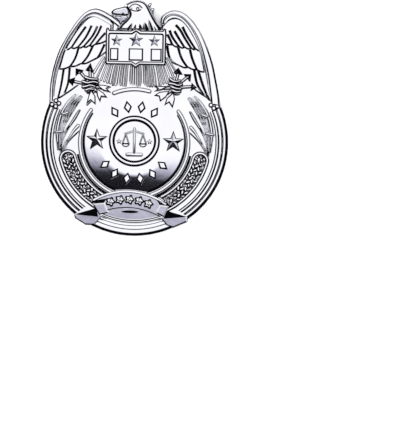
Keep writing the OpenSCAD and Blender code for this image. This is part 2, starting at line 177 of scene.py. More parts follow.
def featherTip(a, b, bulge, steps=4):
    # a rounded tip from one slit's end to the next one's
    a, b = Vector(a), Vector(b)
    out = -leftOf((b - a).normalized())
    shares = [(k + 0.5) / steps for k in range(steps)]
    return [a.lerp(b, share) + out * bulge * math.sin(math.pi * share) for share in shares]


def rowOutline(back, tips, bulge):
    # a row of feathers: its back edge, then a rounded tip between each two places on its hem
    outline = [Vector(p) for p in back]
    for a, b in zip([back[-1]] + tips, tips + [back[0]]):
        outline += featherTip(a, b, bulge) + [Vector(b)]
    return outline[:-1]


def signedArea(outline):
    # above zero where the outline turns to the left
    return sum(a[0] * b[1] - b[0] * a[1] for a, b in zip(outline, outline[1:] + outline[:1])) / 2


# Modelling steps
def pick(*things):
    bpy.ops.object.select_all(action='DESELECT')
    for thing in things:
        thing.select_set(True)
    bpy.context.view_layer.objects.active = things[0]


def joined(shapes):
    pick(*shapes)
    if len(shapes) > 1:
        bpy.ops.object.join()
    return bpy.context.object


def editAll(shape):
    pick(shape)
    bpy.ops.object.mode_set(mode='EDIT')
    bpy.ops.mesh.select_all(action='SELECT')


def extrude(height):
    bpy.ops.mesh.extrude_region_move(TRANSFORM_OT_translate={"value": (0, 0, height * mm)})


def mergeCorners():
    bpy.ops.mesh.remove_doubles(threshold=mergeGap)
    bpy.ops.mesh.dissolve_degenerate(threshold=mergeGap)
    bpy.ops.mesh.select_all(action='SELECT')


def doneEditing():
    bpy.ops.object.mode_set(mode='OBJECT')


def doneOutward():
    # leaves edit mode with every face turned outwards
    bpy.ops.mesh.select_all(action='SELECT')
    bpy.ops.mesh.normals_make_consistent(inside=False)
    doneEditing()


def flatShape(name, outline, z):
    # a flat face whose corners are set on an outline
    outline = [Vector(p) for p in outline]
    if signedArea(outline) < 0:
        outline.reverse()
    bpy.ops.object.select_all(action='DESELECT')
    bpy.ops.mesh.primitive_circle_add(vertices=len(outline), radius=startSize, fill_type='NGON')
    shape = bpy.context.object
    shape.name = name
    for corner, place in zip(shape.data.vertices, outline):
        corner.co = (place[0] * mm, place[1] * mm, z * mm)
    shape.data.update()
    return shape


def block(name, outline, low, height):
    # an upright block, to cut with
    shape = flatShape(name, outline, low)
    editAll(shape)
    extrude(height)
    doneOutward()
    return shape


def edgeRise(share):
    # how far an edge has risen, at a share of its way in from the side
    for (a, low), (b, high) in zip(edgeShape, edgeShape[1:]):
        if share <= b:
            return low + (high - low) * (share - a) / (b - a)
    return 1.0


def edgeSteps(width, height):
    # inset and rise of each step of an edge
    return [(width * (b[0] - a[0]), height * (b[1] - a[1])) for a, b in zip(edgeShape, edgeShape[1:])]


def raised(name, outline, low, high, shoulder, drop=None, hold=0.05, even=True):
    # a shape with upright sides and a rounded edge, then a narrow flat ring that holds its top flat
    drop = shoulder * edgeHeight if drop is None else drop
    shape = flatShape(name, outline, low)
    editAll(shape)
    extrude(high - low - drop)
    for inset, rise in edgeSteps(shoulder, drop):
        bpy.ops.mesh.inset(thickness=inset * mm, depth=rise * mm, use_even_offset=even)
    if hold:
        bpy.ops.mesh.inset(thickness=hold * mm, depth=0, use_even_offset=even)
    doneOutward()
    return shape


def facetted(name, outline, low, wall, peak, edge=0.0):
    # a shape whose top runs up in facets to one point, inside a bevelled edge
    shape = flatShape(name, outline, low)
    editAll(shape)
    extrude(wall - edge * edgeHeight - low)
    if edge:
        bpy.ops.mesh.inset(thickness=edge * mm, depth=edge * edgeHeight * mm)
    bpy.ops.mesh.poke(offset=(peak - wall) * mm, center_mode='BOUNDS')
    doneEditing()
    return shape


def star(name, place, radius, low, wall, edge):
    # a five-pointed star with ten facets round its middle
    rise = starSlope * (starSide * radius - edge)
    return facetted(name, starOutline(place, radius), low, wall, wall + rise, edge)


def bar(name, left, right, low, high, shoulder, roundEnds=True):
    # a bar between two lines, with rounded edges and, if wanted, round ends
    drop = shoulder * edgeHeight
    section = [(0, low)] + [(shoulder * out, high - drop * (1 - rise)) for out, rise in edgeShape]
    rows = [((Vector(a) + Vector(b)) / 2, (Vector(b) - Vector(a)) / 2, high) for a, b in zip(left, right)]
    if roundEnds:
        for end in (0, -1):
            middle, half, top = rows[end]
            way = (middle - rows[1 if end == 0 else -2][0]).normalized()
            for turn in (25, 50, 70, 90):
                away = half.length * (1 - math.sin(math.radians(turn)))
                narrow = half * max(math.cos(math.radians(turn)), 0.0001)
                level = high - drop * (1 - edgeRise(min(away / shoulder, 1)))
                row = (middle + way * (half.length - away), narrow, level)
                rows = [row] + rows if end == 0 else rows + [row]
    columns = [(-1, out, z) for out, z in section]
    columns += [(1, out, z) for out, z in section[::-1]] + [(-1, 0, low)]
    bpy.ops.object.select_all(action='DESELECT')
    bpy.ops.mesh.primitive_grid_add(x_subdivisions=len(columns) - 1, y_subdivisions=len(rows) - 1,
                                    size=startSize)
    shape = bpy.context.object
    shape.name = name
    for k, corner in enumerate(shape.data.vertices):
        middle, half, top = rows[k // len(columns)]
        side, out, z = columns[k % len(columns)]
        reach = max(half.length - out, 0)
        spot = middle + half.normalized() * side * reach
        corner.co = (spot.x * mm, spot.y * mm, min(z, top) * mm)
    editAll(shape)
    mergeCorners()
    bpy.ops.mesh.fill_holes(sides=0)
    doneOutward()
    return shape


def strip(name, line, width, low, high, shoulder, roundEnds=True):
    # a bar along its middle line
    across = [leftOf(heading(line, k)) * wide / 2 for k, wide in enumerate(widthsAlong(line, width))]
    left = [Vector(p) + away for p, away in zip(line, across)]
    right = [Vector(p) - away for p, away in zip(line, across)]
    return bar(name, left, right, low, high, shoulder, roundEnds)


def facet(name, corners, low):
    # a flat facet with a height at each corner, as a closed block
    if signedArea([(x, y) for x, y, z in corners]) < 0:
        corners = corners[::-1]
    shape = flatShape(name, [(x, y) for x, y, z in corners], low)
    editAll(shape)
    extrude(slab)
    doneEditing()
    for corner in shape.data.vertices:
        if corner.co.z > (low + slab / 2) * mm:
            here = corner.co / mm
            corner.co.z = min((math.hypot(here.x - x, here.y - y), z) for x, y, z in corners)[1] * mm
    shape.data.update()
    return shape


def slopedEdge(shape, width, drop):
    # a narrow slope round a facet's top, which mirrors dark
    editAll(shape)
    bpy.ops.mesh.select_all(action='DESELECT')
    bpy.ops.mesh.select_mode(type='FACE')
    doneEditing()
    top = max(shape.data.polygons, key=lambda face: face.center.z)
    top.select = True
    outer = list(top.vertices)
    bpy.ops.object.mode_set(mode='EDIT')
    bpy.ops.mesh.inset(thickness=width * mm, depth=0)
    doneEditing()
    for index in outer:
        shape.data.vertices[index].co.z -= drop * mm
    shape.data.update()
    return shape


def wedge(line, width, top, pointed=(True, True), slope=grooveSlope):
    # a V-shaped bar that cuts a groove down from a height
    last = len(line) - 1
    bpy.ops.object.select_all(action='DESELECT')
    bpy.ops.mesh.primitive_grid_add(x_subdivisions=2, y_subdivisions=last, size=startSize)
    tool = bpy.context.object
    for k, (place, wide) in enumerate(zip(line, widthsAlong(line, width))):
        if (k == 0 and pointed[0]) or (k == last and pointed[1]):
            wide *= 0.15
        reach = wide / 2 + toolRise / slope
        for column, side in enumerate((-1, 0, 1)):
            spot = Vector(place) + leftOf(heading(line, k)) * reach * side
            drop = slope * wide / 2 if side == 0 else -toolRise
            tool.data.vertices[3 * k + column].co = (spot.x * mm, spot.y * mm, (top - drop) * mm)
    tool.data.update()
    editAll(tool)
    extrude(toolHeight)
    doneOutward()
    return tool


def grooves(shape, tools):
    # all the grooves are cut at once
    return cut(shape, joined(tools))


def turnedShape(name, profile, mid, start=0, sweep=360, steps=144):
    # a profile of (radius, height) pairs, spun round an upright axis
    whole = sweep == 360
    bpy.ops.object.select_all(action='DESELECT')
    bpy.ops.mesh.primitive_circle_add(vertices=len(profile), radius=startSize,
                                      fill_type='NOTHING' if whole else 'NGON')
    shape = bpy.context.object
    shape.name = name
    way = around((0, 0), 1, start)
    for corner, (radius, z) in zip(shape.data.vertices, profile):
        corner.co = ((mid[0] + way.x * radius) * mm, (mid[1] + way.y * radius) * mm, z * mm)
    editAll(shape)
    bpy.ops.mesh.spin(steps=steps, angle=math.radians(sweep), center=(mid[0] * mm, mid[1] * mm, 0),
                      axis=(0, 0, -1))
    bpy.ops.mesh.select_all(action='SELECT')
    mergeCorners()
    doneOutward()
    return shape


def cut(shape, tool, operation='DIFFERENCE', own=True):
    # own: the shape or the tool may pass through itself
    pick(shape)
    step = shape.modifiers.new("cut", 'BOOLEAN')
    step.operation = operation
    step.solver = 'EXACT'
    step.use_self = own
    step.object = tool
    bpy.ops.object.modifier_apply(modifier=step.name)
    bpy.data.objects.remove(tool)
    editAll(shape)
    mergeCorners()
    bpy.ops.mesh.delete_loose()
    doneEditing()
    return shape


def turnOver(shape):
    # turns a shape so that its rounded side looks to the back
    for corner in shape.data.vertices:
        corner.co.z = -corner.co.z
    editAll(shape)
    doneOutward()
    return shape


def finished(name, shapes, material, smooth=38):
    # one piece of the badge, joined from its shapes
    piece = joined(shapes)
    piece.name = name
    piece.data.name = name
    editAll(piece)
    doneOutward()
    piece.data.materials.clear()
    piece.data.materials.append(material)
    bpy.ops.object.shade_smooth_by_angle(angle=math.radians(smooth))
    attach(piece, "root")
    print("piece", name, len(piece.data.polygons), "faces")
    return piece


# Chrome: slow clouds of tint and gloss, and fine waves
def chromeMaterial(name, look):
    material = bpy.data.materials.new(name)
    material.use_nodes = True
    nodes, links = material.node_tree.nodes, material.node_tree.links
    shader = nodes["Principled BSDF"]
    shader.inputs["Metallic"].default_value = 1.0
    place = nodes.new("ShaderNodeTexCoord")
    cloud = nodes.new("ShaderNodeTexNoise")
    cloud.inputs["Scale"].default_value = look["cloudScale"]
    cloud.inputs["Detail"].default_value = look["cloudDetail"]
    links.new(place.outputs["Object"], cloud.inputs["Vector"])
    tint = nodes.new("ShaderNodeValToRGB")
    for element, position, colour in zip(tint.color_ramp.elements, look["tintEdges"], look["tints"]):
        element.position, element.color = position, colour
    links.new(cloud.outputs["Fac"], tint.inputs["Fac"])
    links.new(tint.outputs["Color"], shader.inputs["Base Color"])
    gloss = nodes.new("ShaderNodeMapRange")
    gloss.inputs["To Min"].default_value, gloss.inputs["To Max"].default_value = look["roughness"]
    links.new(cloud.outputs["Fac"], gloss.inputs["Value"])
    links.new(gloss.outputs["Result"], shader.inputs["Roughness"])
    waves = nodes.new("ShaderNodeTexNoise")
    waves.inputs["Scale"].default_value = look["waveScale"]
    waves.inputs["Detail"].default_value = look["waveDetail"]
    links.new(place.outputs["Object"], waves.inputs["Vector"])
    bump = nodes.new("ShaderNodeBump")
    bump.inputs["Strength"].default_value = look["waveStrength"]
    bump.inputs["Distance"].default_value = look["waveDepth"] * mm
    links.new(waves.outputs["Fac"], bump.inputs["Height"])
    links.new(bump.outputs["Normal"], shader.inputs["Normal"])
    return material


chromeLook = dict(tints=((0.84, 0.84, 0.88, 1), (0.9, 0.9, 0.93, 1)), tintEdges=(0.3, 0.7),
                  roughness=(0.03, 0.09), cloudScale=120, cloudDetail=3, waveScale=260, waveDetail=2,
                  waveStrength=0.35, waveDepth=0.03)
backLook = dict(chromeLook, tints=((0.8, 0.8, 0.86, 1), (0.87, 0.87, 0.92, 1)), roughness=(0.05, 0.12),
                waveScale=90, waveStrength=0.5, waveDepth=0.06)
chrome = chromeMaterial("chrome", chromeLook)
chromeBack = chromeMaterial("chromeBack", backLook)


# The body: plate, domed middle and hollow
body = dict(
    rimRadius=32.75, edgeRound=0.8, backRound=0.2,
    rimArcs=[(231, 34), (247, 292, 20), (308, 34)],     # where the tails of the ribbon stand over the rim
    leftWing=[(-30.3, 4.0), (-30.0, 10.0), (-29.3, 15.0), (-28.3, 19.2), (-27.0, 23.1), (-25.3, 26.6),
              (-23.0, 30.6), (-20.4, 34.4), (-17.7, 37.0), (-14.7, 38.1), (-12.0, 37.6), (-9.6, 36.2)],
    rightWing=[(8.9, 32.2), (8.3, 33.6), (8.5, 35.4), (9.9, 36.8), (12.7, 38.0), (16.0, 37.5),
               (18.9, 35.4), (21.5, 32.2), (23.5, 28.6), (25.3, 24.4), (27.0, 19.4), (28.2, 14.0),
               (29.2, 9.0), (29.9, 4.6)],
    head=[(8.2, 32.5), (6.8, 34.4), (5.9, 36.2), (6.1, 37.7), (5.6, 38.6), (4.9, 38.7), (5.0, 39.9),
          (4.3, 40.2), (3.6, 39.9), (2.2, 40.8), (0.3, 41.1), (-1.8, 40.8), (-3.5, 39.9), (-4.7, 38.7),
          (-6.2, 38.2), (-7.8, 37.8), (-8.8, 36.9), (-8.9, 36.1)],
    leftTail=[(-13.4, -37.6), (-16.7, -37.6), (-20.4, -35.2), (-20.7, -34.0)],
    rightTail=[(18.9, -34.2), (19.0, -36.0), (14.0, -38.2), (11.8, -37.5)],
    domeFoot=26.8, domeShoulder=26.1, domeRise=2.3, domeTop=15, domeSunk=0.5, domeWall=0.1,
    capReach=25, capSteps=14,           # of the domed part inside its edge
    domeEdge=[(26.65, -0.6), (26.0, -0.14), (25.7, 0.03)],      # radius, and height over the dome's edge
    hollowReach=26, pocketMouth=27.1, pocketEdge=(25.6, 1.0), pocketFloor=23.9, pocketCap=2.4,
    pocketReach=22, pocketSteps=8, wall=1.2, ripple=0.09,
    mouth=[(5.0, -33.7), (8.6, -34.4), (11.4, -36.0), (16, -44), (30, -40), (30, 2), (22.6, 8.2),
           (20.4, 10.4), (18.0, 11.9), (15.4, 12.4), (13.2, 11.6), (11.6, 10.0), (9.6, 9.5), (8.0, 10.1),
           (6.4, 12.0), (5.4, 12.9)],
    lumps=[((-12.7, -29.6), (-14.6, -34.0)), ((11.0, -30.4), (13.4, -34.2))], lumpWidth=(4.4, 4.6),
    lumpDepth=1.2, lumpEdge=0.4, seatTop=-27, seatGap=0.05, post=((0, 16.7), 2.15), postLow=0.25,
    postRoot=0.5, postRound=0.3, pads=[(-14.4, -17.9), (14.4, -17.9)], padRadius=2.1, padLow=5.75,
    padTop=6.8, padRound=0.15,
    rootDepth=0.6,                      # how far raised work reaches into the domed middle
)


def centreHeight(x, y):
    # height of the domed middle
    out = math.hypot(x - rimMid[0], y - rimMid[1]) / body["domeShoulder"]
    return centreZ + body["domeRise"] * max(0.0, 1 - out * out)


def rooted(shape, least=0.0):
    # sets a shape's lowest corners into the body's wall, so that nothing comes through into the hollow
    low = min(corner.co.z for corner in shape.data.vertices)
    for corner in shape.data.vertices:
        if corner.co.z < low + mergeGap:
            x, y = corner.co.x / mm, corner.co.y / mm
            away = math.hypot(x - rimMid[0], y - rimMid[1])
            overHollow = y < body["domeTop"] and away < body["hollowReach"]
            corner.co.z = max(centreHeight(x, y) - body["rootDepth"] if overHollow else baseZ, least) * mm
    shape.data.update()
    return shape


def plateOutline():
    # from the head to the left and round the badge; the rim starts 2 degrees from each wing's foot
    leftFoot, rightFoot = body["leftWing"][0], body["rightWing"][-1]
    start = math.degrees(math.atan2(leftFoot[1] - rimMid[1], leftFoot[0])) + 2
    end = math.degrees(math.atan2(rightFoot[1] - rimMid[1], rightFoot[0])) + 358
    left, foot, right = body["rimArcs"]
    outline = [Vector(p) for p in body["head"]]
    outline += smoothLine(body["leftWing"][::-1], 3)
    outline += arcLine(rimMid, body["rimRadius"], start, *left)
    outline += [Vector(p) for p in body["leftTail"][::-1]]
    outline += arcLine(rimMid, body["rimRadius"], *foot)
    outline += [Vector(p) for p in body["rightTail"][::-1]]
    outline += arcLine(rimMid, body["rimRadius"], right[0], end, right[1])
    outline += smoothLine(body["rightWing"][::-1], 3)
    return outline


def roundEdgeBelow(shape, shoulder):
    # rounds the edge round the lowest face
    low = min(corner.co.z for corner in shape.data.vertices)
    for face in shape.data.polygons:
        face.select = face.center.z < low + mergeGap
    for corner in shape.data.vertices:
        corner.select = corner.co.z < low + mergeGap
    for edge in shape.data.edges:
        edge.select = all(shape.data.vertices[k].select for k in edge.vertices)
    for corner in shape.data.vertices:
        if corner.select:
            corner.co.z += shoulder * mm
    pick(shape)
    bpy.ops.object.mode_set(mode='EDIT')
    for inset, rise in edgeSteps(shoulder, shoulder):
        bpy.ops.mesh.inset(thickness=inset * mm, depth=rise * mm)
    doneEditing()


def buildBody():
    plate = raised("plate", plateOutline(), backZ, plateZ, body["edgeRound"], body["edgeRound"])
    roundEdgeBelow(plate, body["backRound"])
    sunk, steps = plateZ - body["domeSunk"], body["capSteps"]
    foot = [(0, sunk), (body["domeFoot"], sunk), (body["domeFoot"], plateZ + body["domeWall"])]
    edge = [(radius, centreZ + rise) for radius, rise in body["domeEdge"]]
    radii = [body["capReach"] * k / steps for k in range(steps, 0, -1)]
    cap = [(radius, centreHeight(radius, rimMid[1])) for radius in radii]
    dome = turnedShape("dome", foot + edge + cap + [(0, centreZ + body["domeRise"])], rimMid)
    editAll(dome)
    bpy.ops.mesh.bisect(plane_co=(0, body["domeTop"] * mm, 0), plane_no=(0, 1, 0), use_fill=True,
                        clear_outer=True)
    doneEditing()
    cut(plate, dome, 'UNION', own=False)

    # the hollow, with the moulding's wavy floor
    ceiling = centreZ - body["wall"]
    mouth, steps, (edgeOut, edgeFall) = body["pocketMouth"], body["pocketSteps"], body["pocketEdge"]
    foot = [(0, backZ - toolDrop), (mouth + 0.5, backZ - toolDrop), (mouth, backZ + 0.1)]
    edge = [(edgeOut, ceiling - edgeFall), (body["pocketFloor"], ceiling)]
    cap = [(body["pocketReach"] * k / steps, ceiling + body["pocketCap"] * (1 - (k / steps) ** 2))
           for k in range(steps, -1, -1)]
    pocket = turnedShape("pocket", foot + edge + cap, rimMid, steps=96)
    for corner in pocket.data.vertices:
        x, y, z = corner.co / mm
        if z > backZ + 1:
            waves = math.sin(x * 0.9 + 2 * math.sin(y * 0.5)) + math.sin(y * 1.1 + x * 0.4)
            corner.co.z += mm * body["ripple"] * waves
    mouthLine = smoothLine(body["mouth"], 3) + smoothLine(mirrored(body["mouth"]), 3)
    cut(pocket, block("mouth", mouthLine, backZ - 2, 12), 'INTERSECT', own=False)
    cut(plate, pocket, own=False)

    # two dents behind the ribbon's tails, then the strap's seat
    for lump in body["lumps"]:
        tool = flatShape("lump", stripOutline(lump, body["lumpWidth"]), backZ - toolDrop)
        editAll(tool)
        extrude(toolDrop + body["lumpDepth"])
        bpy.ops.mesh.inset(thickness=body["lumpEdge"] * mm, depth=body["lumpEdge"] * mm)
        doneOutward()
        cut(plate, tool, own=False)
    gap, top = body["seatGap"], body["seatTop"]
    left, right, foot = strapLow.x / mm - gap, strapHigh.x / mm + gap, strapLow.y / mm - gap
    cut(plate, block("seat", [(left, foot), (right, foot), (right, top), (left, top)], backZ - toolDrop,
                     strapHigh.z / mm - backZ + toolDrop + gap), own=False)
    post = raised("post", circle(*body["post"], 48), body["postRoot"] - plateZ, -body["postLow"],
                  body["postRound"])
    shapes = [plate, turnOver(post)]
    for place in body["pads"]:          # the marks of the ejector pins
        pad = raised("pad", circle(place, body["padRadius"], 24), -body["padTop"], -body["padLow"],
                     body["padRound"])
        shapes.append(turnOver(pad))
    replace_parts(finished("body", shapes, chrome, smooth=14), "shell")


# Three beads that follow the rim from wing to wing, and a fourth one at the foot. A bead has its
# outer and inner radius, its rise, and the width of its outer and inner edge.
rim = dict(start=157, sweep=226, footStart=247, footSweep=45, steps=120, flatFrom=0.78, flatTo=0.92,
           flatter=0.42, footBead=(28.2, 27.2, 0.7, 0.35, 0.4),
           beads=[(32.73, 30.72, 1.1, 1.0, 0.45), (30.74, 29.38, 0.95, 0.4, 0.36),
                  (29.4, 28.3, 0.8, 0.32, 0.45)])

# The edges of the beads, without a steep part, so that they mirror black all over
beadShape = ((0.0, 0.0), (0.5, 0.56), (0.85, 0.9), (1.0, 1.0))
beadHeight = 0.52


def beadSection(outer, inner, low, high, outerEdge, innerEdge):
    # a flat-topped bead's section as pairs of radius and height
    section = [(inner, low), (outer, low)]
    section += [(outer - outerEdge * way, high - outerEdge * beadHeight * (1 - rise))
                for way, rise in beadShape]
    section += [(inner + innerEdge * way, high - innerEdge * beadHeight * (1 - rise))
                for way, rise in beadShape[::-1]]
    return section


def buildRim():
    beads = []
    spans = [(bead, rim["start"], rim["sweep"]) for bead in rim["beads"]]
    spans.append((rim["footBead"], rim["footStart"], rim["footSweep"]))
    for (outer, inner, rise, outerEdge, innerEdge), start, sweep in spans:
        top = plateZ + rise
        section = beadSection(outer, inner, baseZ, top, outerEdge, innerEdge)
        bead = turnedShape("bead", section, rimMid, start, sweep, rim["steps"])
        # the beads are flatter at the foot, between the ribbon's tails
        for corner in bead.data.vertices:
            x, y, z = corner.co / mm
            down = (rimMid[1] - y) / math.hypot(x - rimMid[0], y - rimMid[1])
            share = min(max((down - rim["flatFrom"]) / (rim["flatTo"] - rim["flatFrom"]), 0), 1)
            if z > plateZ:
                corner.co.z = (top - (top - z) * (1 - share * rim["flatter"])) * mm
        bead.data.update()
        beads.append(bead)
    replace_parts(finished("rimBeads", beads, chrome), "shell")


# The wings: three rows of feathers below a rolled leading edge
wings = dict(
    rows=[("rowThree", 0.9, 0.1), ("rowTwo", 1.5, 0.35), ("rowOne", 2.1, 0.4)],      # rise, bulge of tips
    rolls=[("roll", 60), ("lower", 48)],        # name, steps along
    sunk=0.05, shoulder=0.62, roll=2.85, lower=2.5, curl=2.1, curlStep=0.15, curlRadius=0.95,
    curlRound=0.6,
    left=dict(
        slit=(0.88, 0.65), rollRound=0.6, lowerRound=0.3,
        rowOneBack=[(-9.0, 27.4), (-8.6, 31.5), (-9.2, 33.2), (-11.6, 34.4), (-14.0, 35.5), (-16.3, 35.1),
                    (-18.5, 33.3), (-20.7, 30.6), (-22.6, 27.7), (-24.3, 24.6), (-24.9, 23.3)],
        rowOneTips=[(-22.7, 23.9), (-20.5, 24.1), (-18.5, 24.3), (-16.4, 24.7), (-14.4, 25.1)],
        rowOneSlits=[[(-17.6, 31.6), (-20.3, 27.7), (-22.9, 23.6)],
                     [(-15.6, 32.0), (-17.7, 27.7), (-20.9, 23.6)],
                     [(-13.6, 31.8), (-15.3, 28.3), (-18.9, 23.9)],
                     [(-12.2, 32.0), (-13.7, 28.7), (-16.7, 24.2)],
                     [(-10.8, 29.5), (-12.7, 27.3), (-14.8, 24.6)]],
        rowTwoBack=[(-9.5, 23.4), (-9.5, 30.0), (-14.0, 33.0), (-19.0, 31.0), (-22.5, 27.0),
                    (-25.0, 23.6), (-26.2, 19.8), (-27.0, 16.4)],
        rowTwoTips=[(-23.0, 17.3), (-19.2, 18.4), (-16.0, 19.2)],
        rowTwoSlits=[[(-19.9, 25.0), (-21.2, 20.5), (-23.6, 16.7)],
                     [(-14.9, 25.4), (-17.0, 21.0), (-19.7, 17.8)],
                     [(-11.0, 25.6), (-13.3, 21.0), (-16.3, 18.7)]],
        rowThreeBack=[(-20.3, 10.8), (-10.0, 13.0), (-8.0, 31.0), (-8.6, 33.8), (-12.0, 36.6),
                      (-14.7, 37.6), (-17.5, 36.6), (-20.1, 34.0), (-22.8, 30.2), (-25.0, 26.3),
                      (-26.7, 22.9), (-28.0, 19.0), (-29.0, 15.0), (-29.7, 10.0), (-30.0, 5.0)],
        rowThreeTips=[(-27.0, 6.2), (-25.2, 7.2)],
        rowThreeSlits=[[(-25.1, 17.4), (-26.0, 11.0), (-27.2, 5.8)],
                       [(-23.1, 17.4), (-23.6, 11.7), (-25.5, 6.6)]],
        rollOuter=[(-29.95, 4.7), (-29.85, 10.0), (-29.15, 15.0), (-28.15, 19.2), (-26.85, 23.1),
                   (-25.15, 26.55), (-22.87, 30.5), (-20.3, 34.25), (-17.65, 36.85), (-14.7, 37.95),
                   (-12.05, 37.4), (-9.4, 35.95), (-7.1, 34.5), (-4.7, 32.7)],
        rollInner=[(-28.6, 5.5), (-28.5, 10.0), (-28.0, 14.7), (-26.8, 19.3), (-25.3, 23.3),
                   (-23.4, 27.2), (-21.4, 30.3), (-19.3, 33.2), (-17.3, 35.2), (-14.7, 36.1),
                   (-12.0, 35.3), (-9.3, 33.8), (-7.6, 32.6), (-5.9, 31.2)],
        lowerOuter=[(-28.55, 7.0), (-28.45, 10.0), (-27.95, 14.7), (-26.75, 19.3), (-25.25, 23.3),
                    (-23.35, 27.2), (-21.35, 30.3), (-19.25, 33.2), (-17.25, 35.2), (-14.7, 36.1),
                    (-12.0, 35.3), (-9.3, 33.8)],
        lowerInner=[(-28.2, 7.0), (-28.0, 10.0), (-27.3, 14.7), (-26.0, 19.5), (-24.5, 23.9),
                    (-22.1, 27.9), (-19.8, 31.7), (-17.9, 33.9), (-15.9, 35.0), (-14.1, 34.9),
                    (-11.3, 33.5), (-8.7, 32.0)],
        curls=[(-29.0, 4.2), (-27.7, 3.5), (-26.6, 4.6), (-27.6, 5.5)]),
    right=dict(
        slit=(1.0, 0.78), rollRound=0.72, lowerRound=0.4,
        rowOneBack=[(22.6, 23.8), (21.6, 26.6), (19.4, 30.2), (17.4, 33.2), (15.4, 34.8), (13.2, 35.2),
                    (11.0, 34.4), (9.5, 32.8), (8.8, 31.5), (9.0, 26.6)],
        rowOneTips=[(12.7, 25.5), (15.1, 24.9), (17.0, 24.7), (19.4, 24.4), (20.9, 24.2)],
        rowOneSlits=[[(10.8, 29.4), (11.8, 27.6), (12.9, 25.1)],
                     [(11.6, 30.8), (12.7, 28.3), (15.5, 24.5)],
                     [(13.3, 30.6), (14.7, 28.3), (17.3, 24.3)],
                     [(13.7, 32.7), (15.4, 30.8), (17.1, 27.9), (19.7, 24.0)],
                     [(16.1, 32.1), (17.7, 29.0), (21.1, 23.8)]],
        rowTwoBack=[(24.3, 16.3), (23.6, 20.0), (22.6, 24.0), (20.0, 28.0), (17.0, 31.0), (12.0, 32.0),
                    (9.4, 30.0), (9.4, 21.6)],
        rowTwoTips=[(15.7, 18.1), (18.3, 17.8), (21.4, 17.0)],
        rowTwoSlits=[[(10.8, 25.6), (12.0, 20.8), (15.9, 17.7)],
                     [(14.5, 25.6), (16.0, 21.0), (18.6, 17.4)],
                     [(18.6, 25.2), (19.7, 21.0), (21.7, 16.5)]],
        rowThreeBack=[(29.1, 5.4), (28.5, 10.0), (27.6, 14.0), (26.5, 19.2), (24.8, 24.1), (23.1, 28.0),
                      (21.0, 31.7), (18.8, 34.6), (16.0, 36.8), (12.8, 37.3), (10.0, 36.2), (8.9, 33.6),
                      (8.8, 31.0), (10.0, 13.0), (20.0, 10.6)],
        rowThreeTips=[(24.9, 7.4), (26.2, 6.3)],
        rowThreeSlits=[[(20.4, 17.4), (21.7, 11.9), (25.1, 7.0)],
                       [(21.7, 17.4), (23.9, 11.0), (26.4, 5.9)]],
        rollOuter=[(29.55, 4.9), (29.05, 9.0), (28.05, 14.0), (26.85, 19.3), (25.15, 24.3), (23.35, 28.5),
                   (21.37, 32.1), (18.8, 35.25), (15.95, 37.35), (12.7, 37.85), (9.95, 36.7), (8.6, 35.3),
                   (8.4, 33.7), (8.7, 32.6)],
        rollInner=[(26.5, 5.8), (26.15, 8.3), (25.1, 15.3), (24.0, 20.0), (22.7, 24.7), (21.0, 28.7),
                   (18.6, 32.6), (16.0, 35.2), (13.0, 36.2), (10.9, 35.6), (9.9, 34.4), (9.75, 33.0)],
        lowerOuter=[(26.1, 8.3), (25.05, 15.3), (23.95, 20.0), (22.65, 24.7), (20.95, 28.7),
                    (18.55, 32.6), (15.95, 35.2), (13.0, 36.2), (10.9, 35.6), (9.9, 34.3)],
        lowerInner=[(25.8, 8.3), (24.6, 14.6), (23.5, 19.4), (22.0, 24.3), (20.1, 28.2), (17.8, 31.9),
                    (15.5, 34.2), (13.2, 34.9), (11.3, 34.2), (10.3, 32.9)],
        curls=[(28.7, 4.5), (27.5, 3.8), (26.5, 4.9), (27.4, 5.7)]))


def buildWing(name, look):
    base = plateZ - wings["sunk"]
    shapes = []
    for row, rise, bulge in wings["rows"]:
        top = plateZ + rise
        outline = rowOutline(smoothLine(look[row + "Back"], 3), look[row + "Tips"], bulge)
        shape = raised(row, outline, base, top, wings["shoulder"], even=False)
        grooves(shape, [wedge(smoothLine(line, 4), look["slit"], top, (False, False))
                        for line in look[row + "Slits"]])
        shapes.append(shape)
    for roll, steps in wings["rolls"]:
        outer, inner = evenLine(look[roll + "Outer"], steps), evenLine(look[roll + "Inner"], steps)
        shapes.append(bar(roll, outer, inner, base, plateZ + wings[roll], look[roll + "Round"],
                          roundEnds=False))
    for k, place in enumerate(look["curls"]):
        shapes.append(raised("curl", circle(place, wings["curlRadius"], 16), base,
                             plateZ + wings["curl"] + wings["curlStep"] * k, wings["curlRound"]))
    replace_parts(finished(name, shapes, chrome, smooth=20), "shell")


